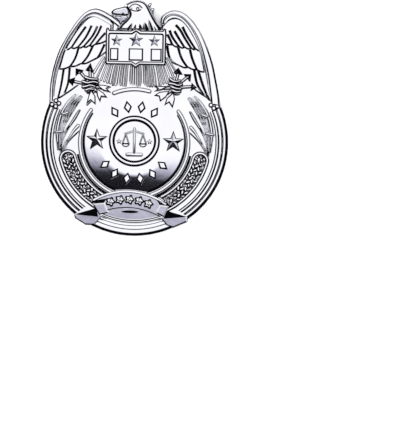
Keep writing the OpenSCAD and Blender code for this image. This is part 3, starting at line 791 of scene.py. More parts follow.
# The eagle's head with its beak, eye and ragged ruff
head = dict(
    top=5.0, round=1.0, ballRadius=42, middle=(0.4, 37.4), sides=2,      # nothing below sides is bent
    beakTop=4.2, beakRound=0.7, beakLean=(37, 0.155), lowerTop=3.6, lowerRound=0.55,
    lowerLean=(34, 0.165),
    skull=[(9.1, 30.2), (9.0, 31.2), (8.0, 32.45), (6.65, 34.3), (5.35, 36.5), (4.3, 38.5), (3.4, 39.8),
           (2.1, 40.65), (0.3, 40.98), (-1.8, 40.65), (-3.4, 39.85), (-4.45, 38.85), (-3.75, 38.1),
           (-3.0, 37.0), (-2.5, 35.9), (-2.9, 34.9), (-3.9, 33.7), (-5.0, 32.8), (-5.7, 31.9),
           (-6.2, 30.2)],
    beak=[(-2.2, 35.6), (-2.6, 37.6), (-3.6, 38.5), (-4.9, 38.45), (-6.2, 38.1), (-7.6, 37.7),
          (-8.55, 37.0), (-8.75, 36.3), (-8.1, 35.7), (-6.9, 35.45), (-5.6, 35.4), (-4.2, 35.3)],
    lowerBeak=[(-2.8, 34.6), (-3.4, 35.6), (-5.6, 35.4), (-8.0, 35.3), (-7.3, 34.4), (-6.4, 33.4),
               (-5.7, 32.3), (-4.9, 32.2), (-4.0, 33.2)],
    nostril=[(-7.0, 35.95), (-5.9, 35.8), (-5.0, 35.95), (-4.2, 36.25)], throat=((-4.35, 32.95), 0.95),
    pits=[((0.45, 37.85), 0.62), ((-1.75, 37.85), 0.34)],
    brow=[(-2.55, 37.8), (-1.8, 38.85), (-0.5, 39.4), (1.0, 38.95), (2.15, 37.9)],
    lid=[(-2.3, 37.6), (-1.1, 37.15), (0.55, 37.05), (1.8, 37.75)],
    ruff=[((-1.3, 32.9), (-2.7, 30.3), 1.3), ((-0.1, 32.5), (-0.7, 30.4), 0.9),
          ((1.2, 32.7), (1.7, 30.4), 1.2), ((2.8, 33.3), (3.4, 30.3), 1.9),
          ((4.3, 34.2), (5.3, 30.3), 1.4), ((6.1, 32.0), (6.7, 30.3), 0.9)],
    chin=[(-2.9, 34.9), (-4.0, 33.9), (-5.9, 32.2)],
    nape=[(2.9, 40.2), (4.1, 38.85), (5.2, 36.75), (6.45, 34.6), (7.85, 32.6), (9.0, 30.9)],
    browWidth=0.5, lidWidth=0.4, chinWidth=(0.9, 1.5), napeWidth=(1.4, 2.4), napeSlope=0.3,
    nostrilWidth=(0.4, 0.8), tufts=[((4.45, 39.55), (4.75, 39.95)), ((5.35, 37.95), (5.75, 38.2))],
    tuft=1.2, tuftFoot=0.3, tuftWidth=(1.1, 0.9), tuftRound=0.32,
)


def pitTool(mid, radius, top):
    # a cone that sinks a round pit
    height = radius * grooveSlope + toolRise
    bpy.ops.object.select_all(action='DESELECT')
    bpy.ops.mesh.primitive_cone_add(vertices=20, radius1=height / grooveSlope * mm, radius2=0,
                                    depth=height * mm)
    tool = bpy.context.object
    middle = (top + toolRise - height / 2) * mm
    for corner in tool.data.vertices:
        corner.co = (corner.co.x + mid[0] * mm, corner.co.y + mid[1] * mm, middle - corner.co.z)
    editAll(tool)
    doneOutward()
    return tool


def buildHead():
    top = plateZ + head["top"]
    bent = (plateZ + head["sides"]) * mm

    def ball(x, y):
        away = math.hypot(x - head["middle"][0], y - head["middle"][1])
        return math.sqrt(head["ballRadius"] ** 2 - away ** 2) - head["ballRadius"]

    skull = raised("skull", smoothLoop(head["skull"], 3), baseZ, top, head["round"], hold=0.02,
                   even=False)
    tools = [pitTool(mid, radius, top) for mid, radius in head["pits"]]
    tools += [wedge(smoothLine(head["brow"], 3), head["browWidth"], top),
              wedge(smoothLine(head["lid"], 3), head["lidWidth"], top),
              wedge(smoothLine(head["chin"], 3), head["chinWidth"], top, (False, False)),
              wedge(smoothLine(head["nape"], 3), head["napeWidth"], top, (True, False),
                    head["napeSlope"])]
    tools += [wedge(smoothLine([start, end], 3), (width * 0.4, width * 1.35), top, (True, False))
              for start, end, width in head["ruff"]]
    grooves(skull, tools)
    for corner in skull.data.vertices:
        if corner.co.z > bent:
            corner.co.z += ball(corner.co.x / mm, corner.co.y / mm) * mm

    beakTop, lowerTop = plateZ + head["beakTop"], plateZ + head["lowerTop"]
    beak = raised("beak", smoothLoop(head["beak"], 3), baseZ, beakTop, head["beakRound"], even=False)
    grooves(beak, [wedge(smoothLine(head["nostril"], 3), head["nostrilWidth"], beakTop)])
    lowerBeak = raised("lowerBeak", smoothLoop(head["lowerBeak"], 3), baseZ, lowerTop, head["lowerRound"],
                       even=False)
    grooves(lowerBeak, [pitTool(*head["throat"], lowerTop)])
    for shape, (level, lean) in ((beak, head["beakLean"]), (lowerBeak, head["lowerLean"])):
        for corner in shape.data.vertices:
            if corner.co.z > bent:
                corner.co.z += (corner.co.y - level * mm) * lean
    tufts = [raised("tuft", stripOutline(line, head["tuftWidth"]), backZ + head["tuftFoot"],
                    plateZ + head["tuft"], head["tuftRound"]) for line in head["tufts"]]
    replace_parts(finished("eagleHead", [skull, beak, lowerBeak] + tufts, chrome, smooth=20), "shell")


# The striped shield with three stars
shield = dict(
    border=0.55, field=0.8, fieldMiddle=24.4, stripe=0.15, stripeRound=0.52, starLevel=0.5, starEdge=0.16,
    outer=[(0, 17.2), (1.5, 18.3), (10.5, 18.3), (10.6, 29.6), (10.45, 31.0), (9.7, 31.3), (9.1, 30.35),
           (1.75, 30.35), (0, 31.2)],
    inner=[(0, 18.85), (1.25, 19.65), (9.15, 19.65), (9.15, 28.2), (9.15, 28.6), (9.05, 28.85),
           (8.6, 28.9), (1.35, 28.9), (0, 29.8)],
    stripes=[(-9.05, 19.8, -6.0, 24.15), (-2.5, 19.8, 2.6, 24.15), (5.15, 19.8, 9.05, 24.15)],
    stars=[((-6.75, 26.7), 2.2), ((0.0, 26.95), 2.75), ((6.4, 26.7), 2.2)],
)


def flatRing(name, outer, inner, z):
    # a flat ring between two loops of as many corners
    loops = []
    for loop in (outer, inner):
        bpy.ops.object.select_all(action='DESELECT')
        bpy.ops.mesh.primitive_circle_add(vertices=len(loop), radius=startSize, fill_type='NOTHING')
        for corner, place in zip(bpy.context.object.data.vertices, loop):
            corner.co = (place[0] * mm, place[1] * mm, z * mm)
        loops.append(bpy.context.object)
    shape = joined(loops)
    shape.name = name
    editAll(shape)
    bpy.ops.mesh.bridge_edge_loops()
    doneEditing()
    if shape.data.polygons[0].normal.z < 0:
        editAll(shape)
        bpy.ops.mesh.flip_normals()
        doneEditing()
    return shape


def raisedRing(name, outer, inner, low, high, shoulder):
    # a ring with upright sides and a rounded edge on each side
    drop = shoulder * edgeHeight
    shape = flatRing(name, outer, inner, low)
    editAll(shape)
    extrude(high - low - drop)
    for inset, rise in edgeSteps(shoulder, drop):
        bpy.ops.mesh.inset(thickness=inset * mm, depth=rise * mm)
    doneEditing()
    return shape


def buildShield():
    outer, inner = (half + sided(half[-2:0:-1], -1) for half in (shield["outer"], shield["inner"]))
    middle = shield["fieldMiddle"]
    fieldLine = [(x * 1.02, middle + (y - middle) * 1.02) for x, y in inner]
    shapes = [raisedRing("border", outer, inner, baseZ, shieldZ, shield["border"]),
              raised("field", fieldLine, baseZ, shieldZ - shield["field"], 0.05)]
    for left, foot, right, top in shield["stripes"]:
        outline = [(left, foot), (right, foot), (right, top), (left, top)]
        shapes.append(raised("stripe", outline, shieldZ - 1, shieldZ - shield["stripe"],
                             shield["stripeRound"]))
    for place, radius in shield["stars"]:
        shapes.append(star("shieldStar", place, radius, shieldZ - 1, shieldZ - shield["starLevel"],
                           shield["starEdge"]))
    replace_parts(finished("shield", shapes, chrome, smooth=12), "shell")


# The fluted breast between the shield and the disc
breast = dict(base=2.3, baseRound=0.3, top=3.1, flutes=31, width=0.98, round=0.4,
              uneven=(0.5, 0.3, 0.2, 0.35),      # of the feet, the bends, the widths and the heights
              # the flutes' tops and feet: at the middle, and what they gain to the sides
              topAcross=(10.6, 0.6), topUp=(18.7, 2.3), footAcross=(12.6, 1.9), footUp=(11.0, 1.0, 3.6),
              edge=[(-11.0, 21.0), (-14.9, 16.4), (-14.6, 13.6), (-12.8, 11.6), (-9.6, 10.4), (9.6, 10.4),
                    (12.8, 11.6), (14.6, 13.6), (14.9, 16.4), (11.0, 21.0), (9.0, 19.2), (-9.0, 19.2)])


def uneven(size):
    return size * (dice.random() - 0.5)


def buildBreast():
    base = plateZ + breast["base"]
    footRoom, bendRoom, widthRoom, liftRoom = breast["uneven"]
    topX, topMore = breast["topAcross"]
    topY, topHigher = breast["topUp"]
    footX, footMore = breast["footAcross"]
    footY, footHigher, footLast = breast["footUp"]
    shapes = [rooted(raised("breastBase", breast["edge"], baseZ, base, breast["baseRound"]))]
    for k in range(breast["flutes"]):
        side = 2 * k / (breast["flutes"] - 1) - 1
        lean = abs(side) ** 3
        top = (side * (topX + topMore * lean), topY + topHigher * lean)
        foot = (side * (footX + footMore * lean),
                footY + footHigher * side * side + footLast * side ** 6 + uneven(footRoom))
        middle = ((top[0] + foot[0]) / 2 + uneven(bendRoom), (top[1] + foot[1]) / 2)
        wide = breast["width"] + uneven(widthRoom)
        lift = uneven(liftRoom)
        shapes.append(strip("flute", smoothLine([top, middle, foot], 4), (wide * 0.9, wide), base - 0.3,
                            plateZ + breast["top"] + lift, breast["round"] + 0.5 * lift))
    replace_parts(finished("breast", shapes, chrome), "shell")


# A claw at each side that grips three arrows
arrows = dict(
    shaft=3.5, shaftWidth=1.2, shaftRound=0.52, head=4.0, headSize=1.25, headEdge=0.32, headRise=0.22,
    tail=4.6, tailStep=0.3, tailEdge=0.5, toe=5.1, toeWidth=(1.45, 1.25), toeRound=0.62,
    left=dict(
        shafts=[((-15.9, 16.9), (-15.5, 9.0)), ((-19.4, 15.8), (-12.5, 8.0)),
                ((-21.3, 12.3), (-10.0, 9.8))],
        heads=[[(-15.7, 18.4), (-17.2, 16.2), (-16.4, 15.9), (-15.9, 16.1), (-15.4, 15.6), (-14.7, 15.5)],
               [(-20.6, 16.6), (-18.3, 16.1), (-18.6, 15.5), (-19.2, 15.2), (-19.9, 14.9), (-20.6, 14.2)],
               [(-23.4, 12.6), (-21.0, 13.5), (-21.2, 12.8), (-21.2, 12.2), (-21.5, 11.7),
                (-21.7, 10.9)]],
        tails=[[(-15.3, 9.6), (-16.2, 7.6), (-17.0, 4.1), (-15.4, 5.7), (-13.6, 4.1), (-13.7, 7.2)],
               [(-13.6, 10.2), (-13.3, 7.4), (-12.1, 5.0), (-11.6, 7.1), (-9.5, 6.8), (-10.9, 8.5)],
               [(-13.9, 11.4), (-11.3, 9.3), (-8.3, 8.6), (-9.8, 10.0), (-8.4, 10.8), (-10.8, 11.3)]],
        toes=[[(-17.3, 13.7), (-15.6, 13.2), (-13.2, 13.1)],
              [(-18.2, 12.2), (-16.6, 11.8), (-14.4, 12.2), (-13.0, 11.8)],
              [(-18.1, 10.4), (-16.9, 10.6), (-15.6, 11.0), (-14.0, 10.6)],
              [(-17.0, 9.3), (-15.9, 9.7), (-14.6, 9.5)]]),
    right=dict(
        shafts=[((14.9, 15.9), (13.0, 8.0)), ((18.2, 14.6), (11.0, 8.4)), ((19.6, 11.2), (9.4, 10.4))],
        heads=[[(14.9, 17.4), (13.5, 16.0), (14.0, 15.4), (14.7, 15.6), (15.4, 15.3), (16.2, 15.4)],
               [(19.2, 15.3), (17.0, 15.3), (17.4, 14.6), (18.0, 14.3), (18.3, 13.6), (19.0, 13.0)],
               [(21.2, 10.9), (19.6, 12.3), (19.6, 11.7), (19.4, 11.1), (19.5, 10.5), (19.3, 9.9)]],
        tails=[[(13.4, 9.2), (14.0, 6.7), (13.2, 3.5), (11.9, 5.4), (10.2, 4.3), (11.0, 7.0)],
               [(12.2, 9.8), (10.9, 7.3), (8.7, 5.6), (8.3, 7.5), (6.5, 7.8), (8.4, 9.1)],
               [(12.4, 11.4), (9.0, 11.2), (6.0, 11.5), (7.8, 10.3), (6.6, 9.3), (9.0, 9.7)]],
        toes=[[(12.2, 13.6), (13.6, 12.8), (15.6, 13.0)],
              [(11.9, 12.1), (13.4, 11.9), (14.9, 11.4), (16.1, 11.8)],
              [(12.8, 10.9), (14.2, 10.4), (15.9, 10.2)], [(13.2, 9.6), (14.4, 9.2), (15.6, 9.3)]]))


def buildArrows(name, look):
    shapes = [strip("shaft", line, arrows["shaftWidth"], baseZ, plateZ + arrows["shaft"],
                    arrows["shaftRound"], roundEnds=False) for line in look["shafts"]]
    level = plateZ + arrows["head"]
    for outline in look["heads"]:
        mid = sum((Vector(p) for p in outline), Vector((0, 0))) / len(outline)
        outline = [mid + (Vector(p) - mid) * arrows["headSize"] for p in outline]
        shapes.append(facetted("arrowHead", outline, baseZ, level, level + arrows["headRise"],
                               arrows["headEdge"]))
    for k, outline in enumerate(look["tails"]):
        top = plateZ + arrows["tail"] - arrows["tailStep"] * k
        shapes.append(raised("arrowTail", outline, baseZ, top, arrows["tailEdge"]))
    for line in look["toes"]:
        shapes.append(strip("toe", smoothLine(line, 3), arrows["toeWidth"], baseZ, plateZ + arrows["toe"],
                            arrows["toeRound"]))
    for shape in shapes:
        rooted(shape)
    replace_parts(finished(name, shapes, chrome, smooth=20), "shell")


# The domed disc with its broken ring
disc = dict(rings=[0, 2, 4, 6, 8, 9, 10, 10.5, 11, 11.5, 12, 13, 14, 15, 16, 17, 18, 18.6],
            slopes=[(0, 0), (10.3, 0.08), (12.0, 0.15), (19.3, 0.168)],     # from which radius, how steep
            ring=(18.9, 143.5, 396.5, 96), ringWidth=1.45, bar=(18.7, 74.5, 113, 18), barWidth=1.6,
            shoulder=0.5, gutter=(18.18, 143.5, 396.5, 96), gutterWidth=0.38, skirt=(19.3, 20.75),
            skirtStart=192, skirtSweep=156, skirtRise=0.9, skirtFall=0.3, barRise=0.1,
            under=[0, 5, 10, 14, 18.6])


def discHeight(x, y):
    # the disc falls gently at first, and quickly past the ring of the lamp's edge
    away = math.hypot(x - discMid[0], y - discMid[1])
    fall = 0.0
    for (a, slopeA), (b, slopeB) in zip(disc["slopes"], disc["slopes"][1:]):
        part = min(max(away - a, 0), b - a)
        fall += part * (slopeA + (slopeB - slopeA) * part / (b - a) / 2)
    return domeTopZ - fall


def buildDisc():
    under = [(radius, centreHeight(radius, rimMid[1]) - body["rootDepth"]) for radius in disc["under"]]
    over = [(radius, discHeight(discMid[0] + radius, discMid[1])) for radius in disc["rings"][::-1]]
    dome = turnedShape("discDome", under + over, discMid)
    level = discHeight(discMid[0] + disc["gutter"][0], discMid[1])
    grooves(dome, [wedge(arcLine(discMid, *disc["gutter"]), disc["gutterWidth"], level)])
    ring = rooted(strip("discRing", arcLine(discMid, *disc["ring"]), disc["ringWidth"], centreZ, ringZ,
                        disc["shoulder"]))
    topBar = rooted(strip("discBar", arcLine(discMid, *disc["bar"]), disc["barWidth"], centreZ,
                          ringZ + disc["barRise"], disc["shoulder"]))
    inner, outer = disc["skirt"]
    section = [(inner, centreZ), (outer, centreZ), (outer, centreZ + disc["skirtRise"]),
               (inner, ringZ - disc["skirtFall"])]
    skirt = turnedShape("discSkirt", section, discMid, disc["skirtStart"], disc["skirtSweep"], 60)
    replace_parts(finished("disc", [dome, ring, topBar, skirt], chrome), "shell")


# Plain lozenges on two arcs, and a star at each side of the seal
marks = dict(radius=12.6, rows=[(90, 4, 22), (-90, 6, 21)], long=2.4, wide=1.5, rise=0.5, round=0.6,
             sunk=0.3, stars=[(-13.0, -7.9), (13.6, -8.3)], starRadius=4.0, starWall=0.75, starEdge=0.3)


def buildMarks():
    shapes = []
    low = domeEdgeZ - marks["sunk"]
    for middle, count, step in marks["rows"]:
        for k in range(count):
            turn = middle + (k - (count - 1) / 2) * step
            place = around(discMid, marks["radius"], turn)
            top = discHeight(*place) + marks["rise"]
            outline = [around(place, marks["wide" if quarter % 2 else "long"], turn + 90 * quarter)
                       for quarter in range(4)]
            shapes.append(raised("lozenge", outline, low, top, marks["round"]))
    for place in marks["stars"]:
        level = discHeight(*place) + marks["starWall"]
        shapes.append(star("sideStar", place, marks["starRadius"], low, level, marks["starEdge"]))
    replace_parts(finished("discMarks", shapes, chrome, smooth=12), "shell")


# The round seal: a raised border round a pair of scales
seal = dict(outer=8.9, inner=6.8, shoulders=(0.7, 0.85), floor=0.7, sunk=0.2, barRound=0.3, barDrop=0.4,
            barSunk=0.05, panSunk=0.02, groundMore=0.3, groundRound=0.05,
            bars=[([(0, -4.3), (0, 4.3)], 1.05), ([(-3.1, 2.6), (0, 3.5), (3.1, 2.6)], 0.85),
                  ([(-2.4, -4.7), (2.4, -4.7)], 1.45), ([(3.0, 2.4), (2.0, -0.6)], 0.65),
                  ([(3.0, 2.4), (4.0, -0.6)], 0.65), ([(-3.0, 2.4), (-2.0, -0.6)], 0.65),
                  ([(-3.0, 2.4), (-4.0, -0.6)], 0.65)],
            pans=[(-3.0, -0.7), (3.0, -0.7)], panRadius=1.5, panRound=0.45,
            stars=[(-5.3, -0.2), (5.3, -0.2)], starRadius=1.15, starWall=0.4, starEdge=0.2)


def buildSeal():
    floor = sealZ - seal["floor"]
    low = floor - seal["sunk"]

    def placed(points):
        return [(x + sealMid[0], y + sealMid[1]) for x, y in points]

    section = beadSection(seal["outer"], seal["inner"], domeEdgeZ, sealZ, *seal["shoulders"])
    ground = circle(sealMid, seal["inner"] + seal["groundMore"], 120)
    shapes = [turnedShape("sealBorder", section, sealMid),
              raised("sealGround", ground, domeEdgeZ, floor, seal["groundRound"])]
    for line, width in seal["bars"]:
        shapes.append(raised("scales", stripOutline(placed(line), width), low, sealZ - seal["barSunk"],
                             seal["barRound"], seal["barDrop"], hold=0))
    for place in placed(seal["pans"]):
        outline = arcLine(place, seal["panRadius"], 180, 360, 10)
        shapes.append(raised("pan", outline, low, sealZ - seal["panSunk"], seal["panRound"]))
    for place in placed(seal["stars"]):
        shapes.append(star("sealStar", place, seal["starRadius"], low, floor + seal["starWall"],
                           seal["starEdge"]))
    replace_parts(finished("seal", shapes, chrome), "shell")


# A spray of long leaves at each side of the disc
sprays = dict(
    sunk=1, rod=1.2, rodGap=0.04, tie=1.55, tieWidth=1.3, tieRound=0.6, lean=0.116,
    leaves=[
        dict(left=[(-27.0, -11.5), (-27.75, -6.0), (-27.4, -2.0), (-26.3, 1.6), (-24.3, 4.8),
                   (-22.4, 7.0), (-21.1, 8.0)],
             right=[(-26.0, -11.0), (-26.0, -5.0), (-25.5, -2.0), (-24.9, 0.3), (-24.1, 2.5),
                    (-22.9, 4.4), (-20.6, 7.4)],
             rods=1, round=0.78),
        dict(left=[(-25.9, -10.5), (-25.6, -4.0), (-25.2, -1.9), (-24.6, 0.3), (-23.8, 2.6), (-22.5, 4.6),
                   (-20.7, 6.6), (-19.1, 7.6)],
             right=[(-25.3, -10.5), (-24.3, -4.0), (-23.1, -1.5), (-21.8, 0.9), (-20.3, 3.4),
                    (-19.0, 5.5), (-18.2, 7.0)],
             rods=3, round=0.43),
        dict(left=[(-25.4, -10.5), (-24.8, -7.0), (-24.0, -4.3), (-22.7, -2.1), (-21.4, 0.1),
                   (-20.2, 2.0), (-19.6, 2.6)],
             right=[(-25.2, -10.5), (-24.4, -7.5), (-22.9, -4.5), (-21.6, -2.6), (-20.1, -0.4),
                    (-19.1, 1.6), (-18.9, 2.0)],
             rods=1, round=0.58),
        dict(left=[(-25.2, -10.8), (-23.8, -8.2), (-22.3, -5.6), (-21.3, -3.9), (-20.2, -2.5)],
             right=[(-25.0, -11.2), (-23.2, -8.9), (-22.1, -7.2), (-20.7, -5.2), (-19.1, -3.6)], rods=1,
             round=0.5),
        dict(left=[(-25.0, -11.3), (-23.3, -8.6), (-21.3, -6.3), (-19.1, -4.4)],
             right=[(-24.6, -11.8), (-22.9, -9.1), (-20.9, -6.9), (-18.9, -5.1)], rods=1, round=0.37)],
    ties=[((-25.2, 0.8), (-23.4, 1.4)), ((-27.4, -5.5), (-25.0, -5.1))],
    shoulder=[(-22.9, 7.8), (-19.6, 11.2), (-16.0, 12.8), (-14.8, 11.0), (-18.3, 8.6), (-21.0, 5.9)],
    shoulderRise=0.25, shoulderY=10, shoulderFoot=0.4,
)


def leafLine(leaf, share, side):
    # the line at a share of the way from the leaf's left edge to its right one
    left, right = smoothLine(leaf["left"], 4), smoothLine(leaf["right"], 4)
    steps = min(len(left), len(right)) - 1
    left, right = ([line[round(i * (len(line) - 1) / steps)] for i in range(steps + 1)]
                   for line in (left, right))
    return sided([a.lerp(b, share) for a, b in zip(left, right)], side)


def buildSpray(name, side):
    low = plateZ + sprays["sunk"]
    shapes = []
    for leaf in sprays["leaves"]:
        count, gap = leaf["rods"], sprays["rodGap"]
        for k in range(count):
            left = leafLine(leaf, (k + gap) / count, side)
            right = leafLine(leaf, (k + 1 - gap) / count, side)
            shapes.append(bar("rod", left, right, low, centreZ + sprays["rod"], leaf["round"]))
    for tie in sprays["ties"]:
        shapes.append(strip("tie", sided(tie, side), sprays["tieWidth"], low, centreZ + sprays["tie"],
                            sprays["tieRound"]))
    for shape in shapes:
        rooted(shape)
    # a soft shoulder between the wing and the disc
    level, middle = centreZ + sprays["shoulderRise"], sprays["shoulderY"]
    corners = [(x * side, y, level + (y - middle) * sprays["lean"]) for x, y in sprays["shoulder"]]
    shapes.append(facet("shoulder", corners, baseZ + sprays["shoulderFoot"]))
    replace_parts(finished(name, shapes, chrome), "shell")


# A curved laurel panel at each side of the ribbon
laurel = dict(inner=20.6, outer=27.1, start=-15, end=-63, border=1.45, round=0.6, rise=1.4,
              floor=0.7, roughness=0.2, floorColumns=16, floorRows=74, floorInset=0.7, floorDepth=1.2,
              leafRows=(-1.5, -0.5, 0.5, 1.5), leafStep=3.9, leaves=12, leafTurn=38, leafSway=30,
              leafLift=0.2, leafSize=(0.75, 1.25), leafEdge=0.22, leafPeak=0.08, leafFoot=0.1,
              leafFall=0.1, leafFirst=0.5, capTurns=(12, 168),
              leaf=[(-0.85, 0), (-0.55, 0.42), (0.1, 0.52), (0.65, 0.34), (1.0, 0), (0.65, -0.34),
                    (0.1, -0.52), (-0.55, -0.42)])


def buildLaurel(name, side):
    middle = (laurel["inner"] + laurel["outer"]) / 2
    half = (laurel["outer"] - laurel["inner"]) / 2
    first = math.radians(laurel["start"])
    tip = around(rimMid, middle, laurel["start"])

    def borderLine(inset):
        outerArc = arcLine(rimMid, laurel["outer"] - inset, laurel["end"], laurel["start"], 30)
        cap = arcLine(tip, half - inset, *(laurel["start"] + turn for turn in laurel["capTurns"]), 13)
        innerArc = arcLine(rimMid, laurel["inner"] + inset, laurel["start"], laurel["end"], 30)
        return sided(outerArc + cap + innerArc, side)

    top = centreZ + laurel["rise"]
    shapes = [rooted(bar("panelBorder", borderLine(0), borderLine(laurel["border"]), plateZ, top,
                         laurel["round"], roundEnds=False))]
    # the rough ground between the leaves
    across, along = laurel["floorColumns"], laurel["floorRows"]
    bpy.ops.object.select_all(action='DESELECT')
    bpy.ops.mesh.primitive_grid_add(x_subdivisions=across, y_subdivisions=along, size=startSize)
    ground = bpy.context.object
    reach = half - laurel["floorInset"]
    turnStart = first + reach / middle
    for k, corner in enumerate(ground.data.vertices):
        column, row = k % (across + 1), k // (across + 1)
        turn = turnStart + (math.radians(laurel["end"]) - turnStart) * row / along
        past = max(0.0, (turn - first) * middle)
        wide = math.sqrt(max(reach * reach - past * past, 0.01))
        radius = middle + wide * (2 * column / across - 1)
        z = centreZ + laurel["floor"] + laurel["roughness"] * (2 * dice.random() - 1)
        x, y = rimMid[0] + radius * math.cos(turn), rimMid[1] + radius * math.sin(turn)
        corner.co = (x * side * mm, y * mm, z * mm)
    editAll(ground)
    extrude(-laurel["floorDepth"])
    doneEditing()
    shapes.append(ground)
    # the leaves: one is modelled, and its copies are turned, sized and set in four rows
    wall = top - laurel["leafFall"]
    firstLeaf = facetted("leaf", laurel["leaf"], centreZ + laurel["leafFoot"], wall,
                         wall + laurel["leafPeak"], laurel["leafEdge"])
    corners = [corner.co.copy() for corner in firstLeaf.data.vertices]
    smallest, largest = laurel["leafSize"]
    for row, offset in enumerate(laurel["leafRows"]):
        for k in range(laurel["leaves"]):
            turn = first + math.radians(laurel["leafFirst"] - (k + (row % 2) / 2) * laurel["leafStep"])
            way = turn - math.radians(90 - laurel["leafTurn"] * (-1) ** row - uneven(laurel["leafSway"]))
            place = Vector(rimMid) + Vector((math.cos(turn), math.sin(turn))) * (middle + offset)
            pick(firstLeaf)
            bpy.ops.object.duplicate()
            leaf = bpy.context.object
            lift = uneven(laurel["leafLift"]) * mm
            size = smallest + (largest - smallest) * dice.random()
            for corner, start in zip(leaf.data.vertices, corners):
                x = size * (start.x * math.cos(way) - start.y * math.sin(way)) + place[0] * mm
                y = size * (start.x * math.sin(way) + start.y * math.cos(way)) + place[1] * mm
                corner.co = (x * side, y, start.z + lift)
            shapes.append(leaf)
    bpy.data.objects.remove(firstLeaf)
    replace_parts(finished(name, shapes, chrome, smooth=25), "shell")


# The ribbon across the foot, with folded tails
ribbon = dict(
    turn=-2.2, pivot=(-1.3, -30.0), bend=23.4, band=6.3, crown=-25.3, width=25.4, footIn=2.3,
    field=4.1, fieldRound=0.45, lip=4.7, lipWidth=1.05, lipRound=0.28, lipShift=-0.4,
    tilt=0.116, levelY=-33.0, bandY=-30,        # the faces lean, with their named height at such a y
    lens=2.9, lensReach=27.0,
    dimple=dict(middle=(-1.1, -32.75), long=3.0, wide=0.5, lean=0.13, rise=0.01),
    rosettes=5, rosetteStep=9.6, rosette=4.95, rosetteRadius=1.62, petal=0.28, rosetteRound=0.6,
    rosetteFoot=3.6, rosetteFall=0.1, eyeRadius=0.5, eyeFoot=4.6, eyeWall=0.05, eyePeak=0.3,
    endHeight=4.38, tailHeight=2.1, tipRise=0.1, valleyRise=0.05, foldRise=1.3, foldTop=0.55,
    slope=(0.42, 0.3), crease=4.5, creaseWidth=(0.7, 0.6), creaseSlope=1.2, bandRoot=0.9,
    ends=[[(-14.1, -30.2), (-11.7, -34.0), (-8.5, -33.2), (-9.9, -29.8)],
          [(12.5, -30.6), (9.3, -30.2), (8.0, -33.0), (10.8, -34.4)]],
    shades=[[(-14.5, -29.2, 4.75), (-12.9, -30.5, 4.1), (-10.4, -30.2, 4.1), (-9.2, -28.2, 4.75),
             (-11.8, -28.7, 4.75)],
            [(8.1, -28.3, 4.75), (9.3, -30.4, 4.1), (11.6, -30.9, 4.1), (13.4, -30.3, 4.75),
             (10.8, -29.3, 4.75)]],
    creases=[[(-9.7, -29.6), (-9.0, -31.2), (-8.3, -33.2)], [(9.2, -30.2), (8.6, -31.6), (7.9, -33.0)]],
    tails=[dict(plane=[(-20.6, -34.1), (-20.3, -35.3), (-16.7, -37.5), (-13.4, -37.5), (-10.8, -34.4),
                       (-12.4, -31.6)],
                tip=(-20.6, -34.0), valley=(-12.2, -34.7), ridge=(-12.7, -31.6), top=(-14.9, -30.1)),
           dict(plane=[(18.9, -34.2), (18.8, -35.9), (14.0, -38.0), (11.8, -37.3), (9.6, -34.8),
                       (10.9, -32.0)],
                tip=(18.9, -34.2), valley=(10.7, -35.0), ridge=(11.2, -32.0), top=(13.2, -30.2))],
)


def ribbonPlace(points):
    # the ribbon hangs a little askew
    turn = math.radians(ribbon["turn"])
    px, py = ribbon["pivot"]
    return [(px + p[0] * math.cos(turn) - (p[1] - py) * math.sin(turn),
             py + p[0] * math.sin(turn) + (p[1] - py) * math.cos(turn)) for p in points]


def leaning(points, height):
    # the points on a plane that leans a little to the foot, so that it mirrors the lamp's soft edge
    return [(x, y, plateZ + height + (y - ribbon["levelY"]) * ribbon["tilt"]) for x, y in points]


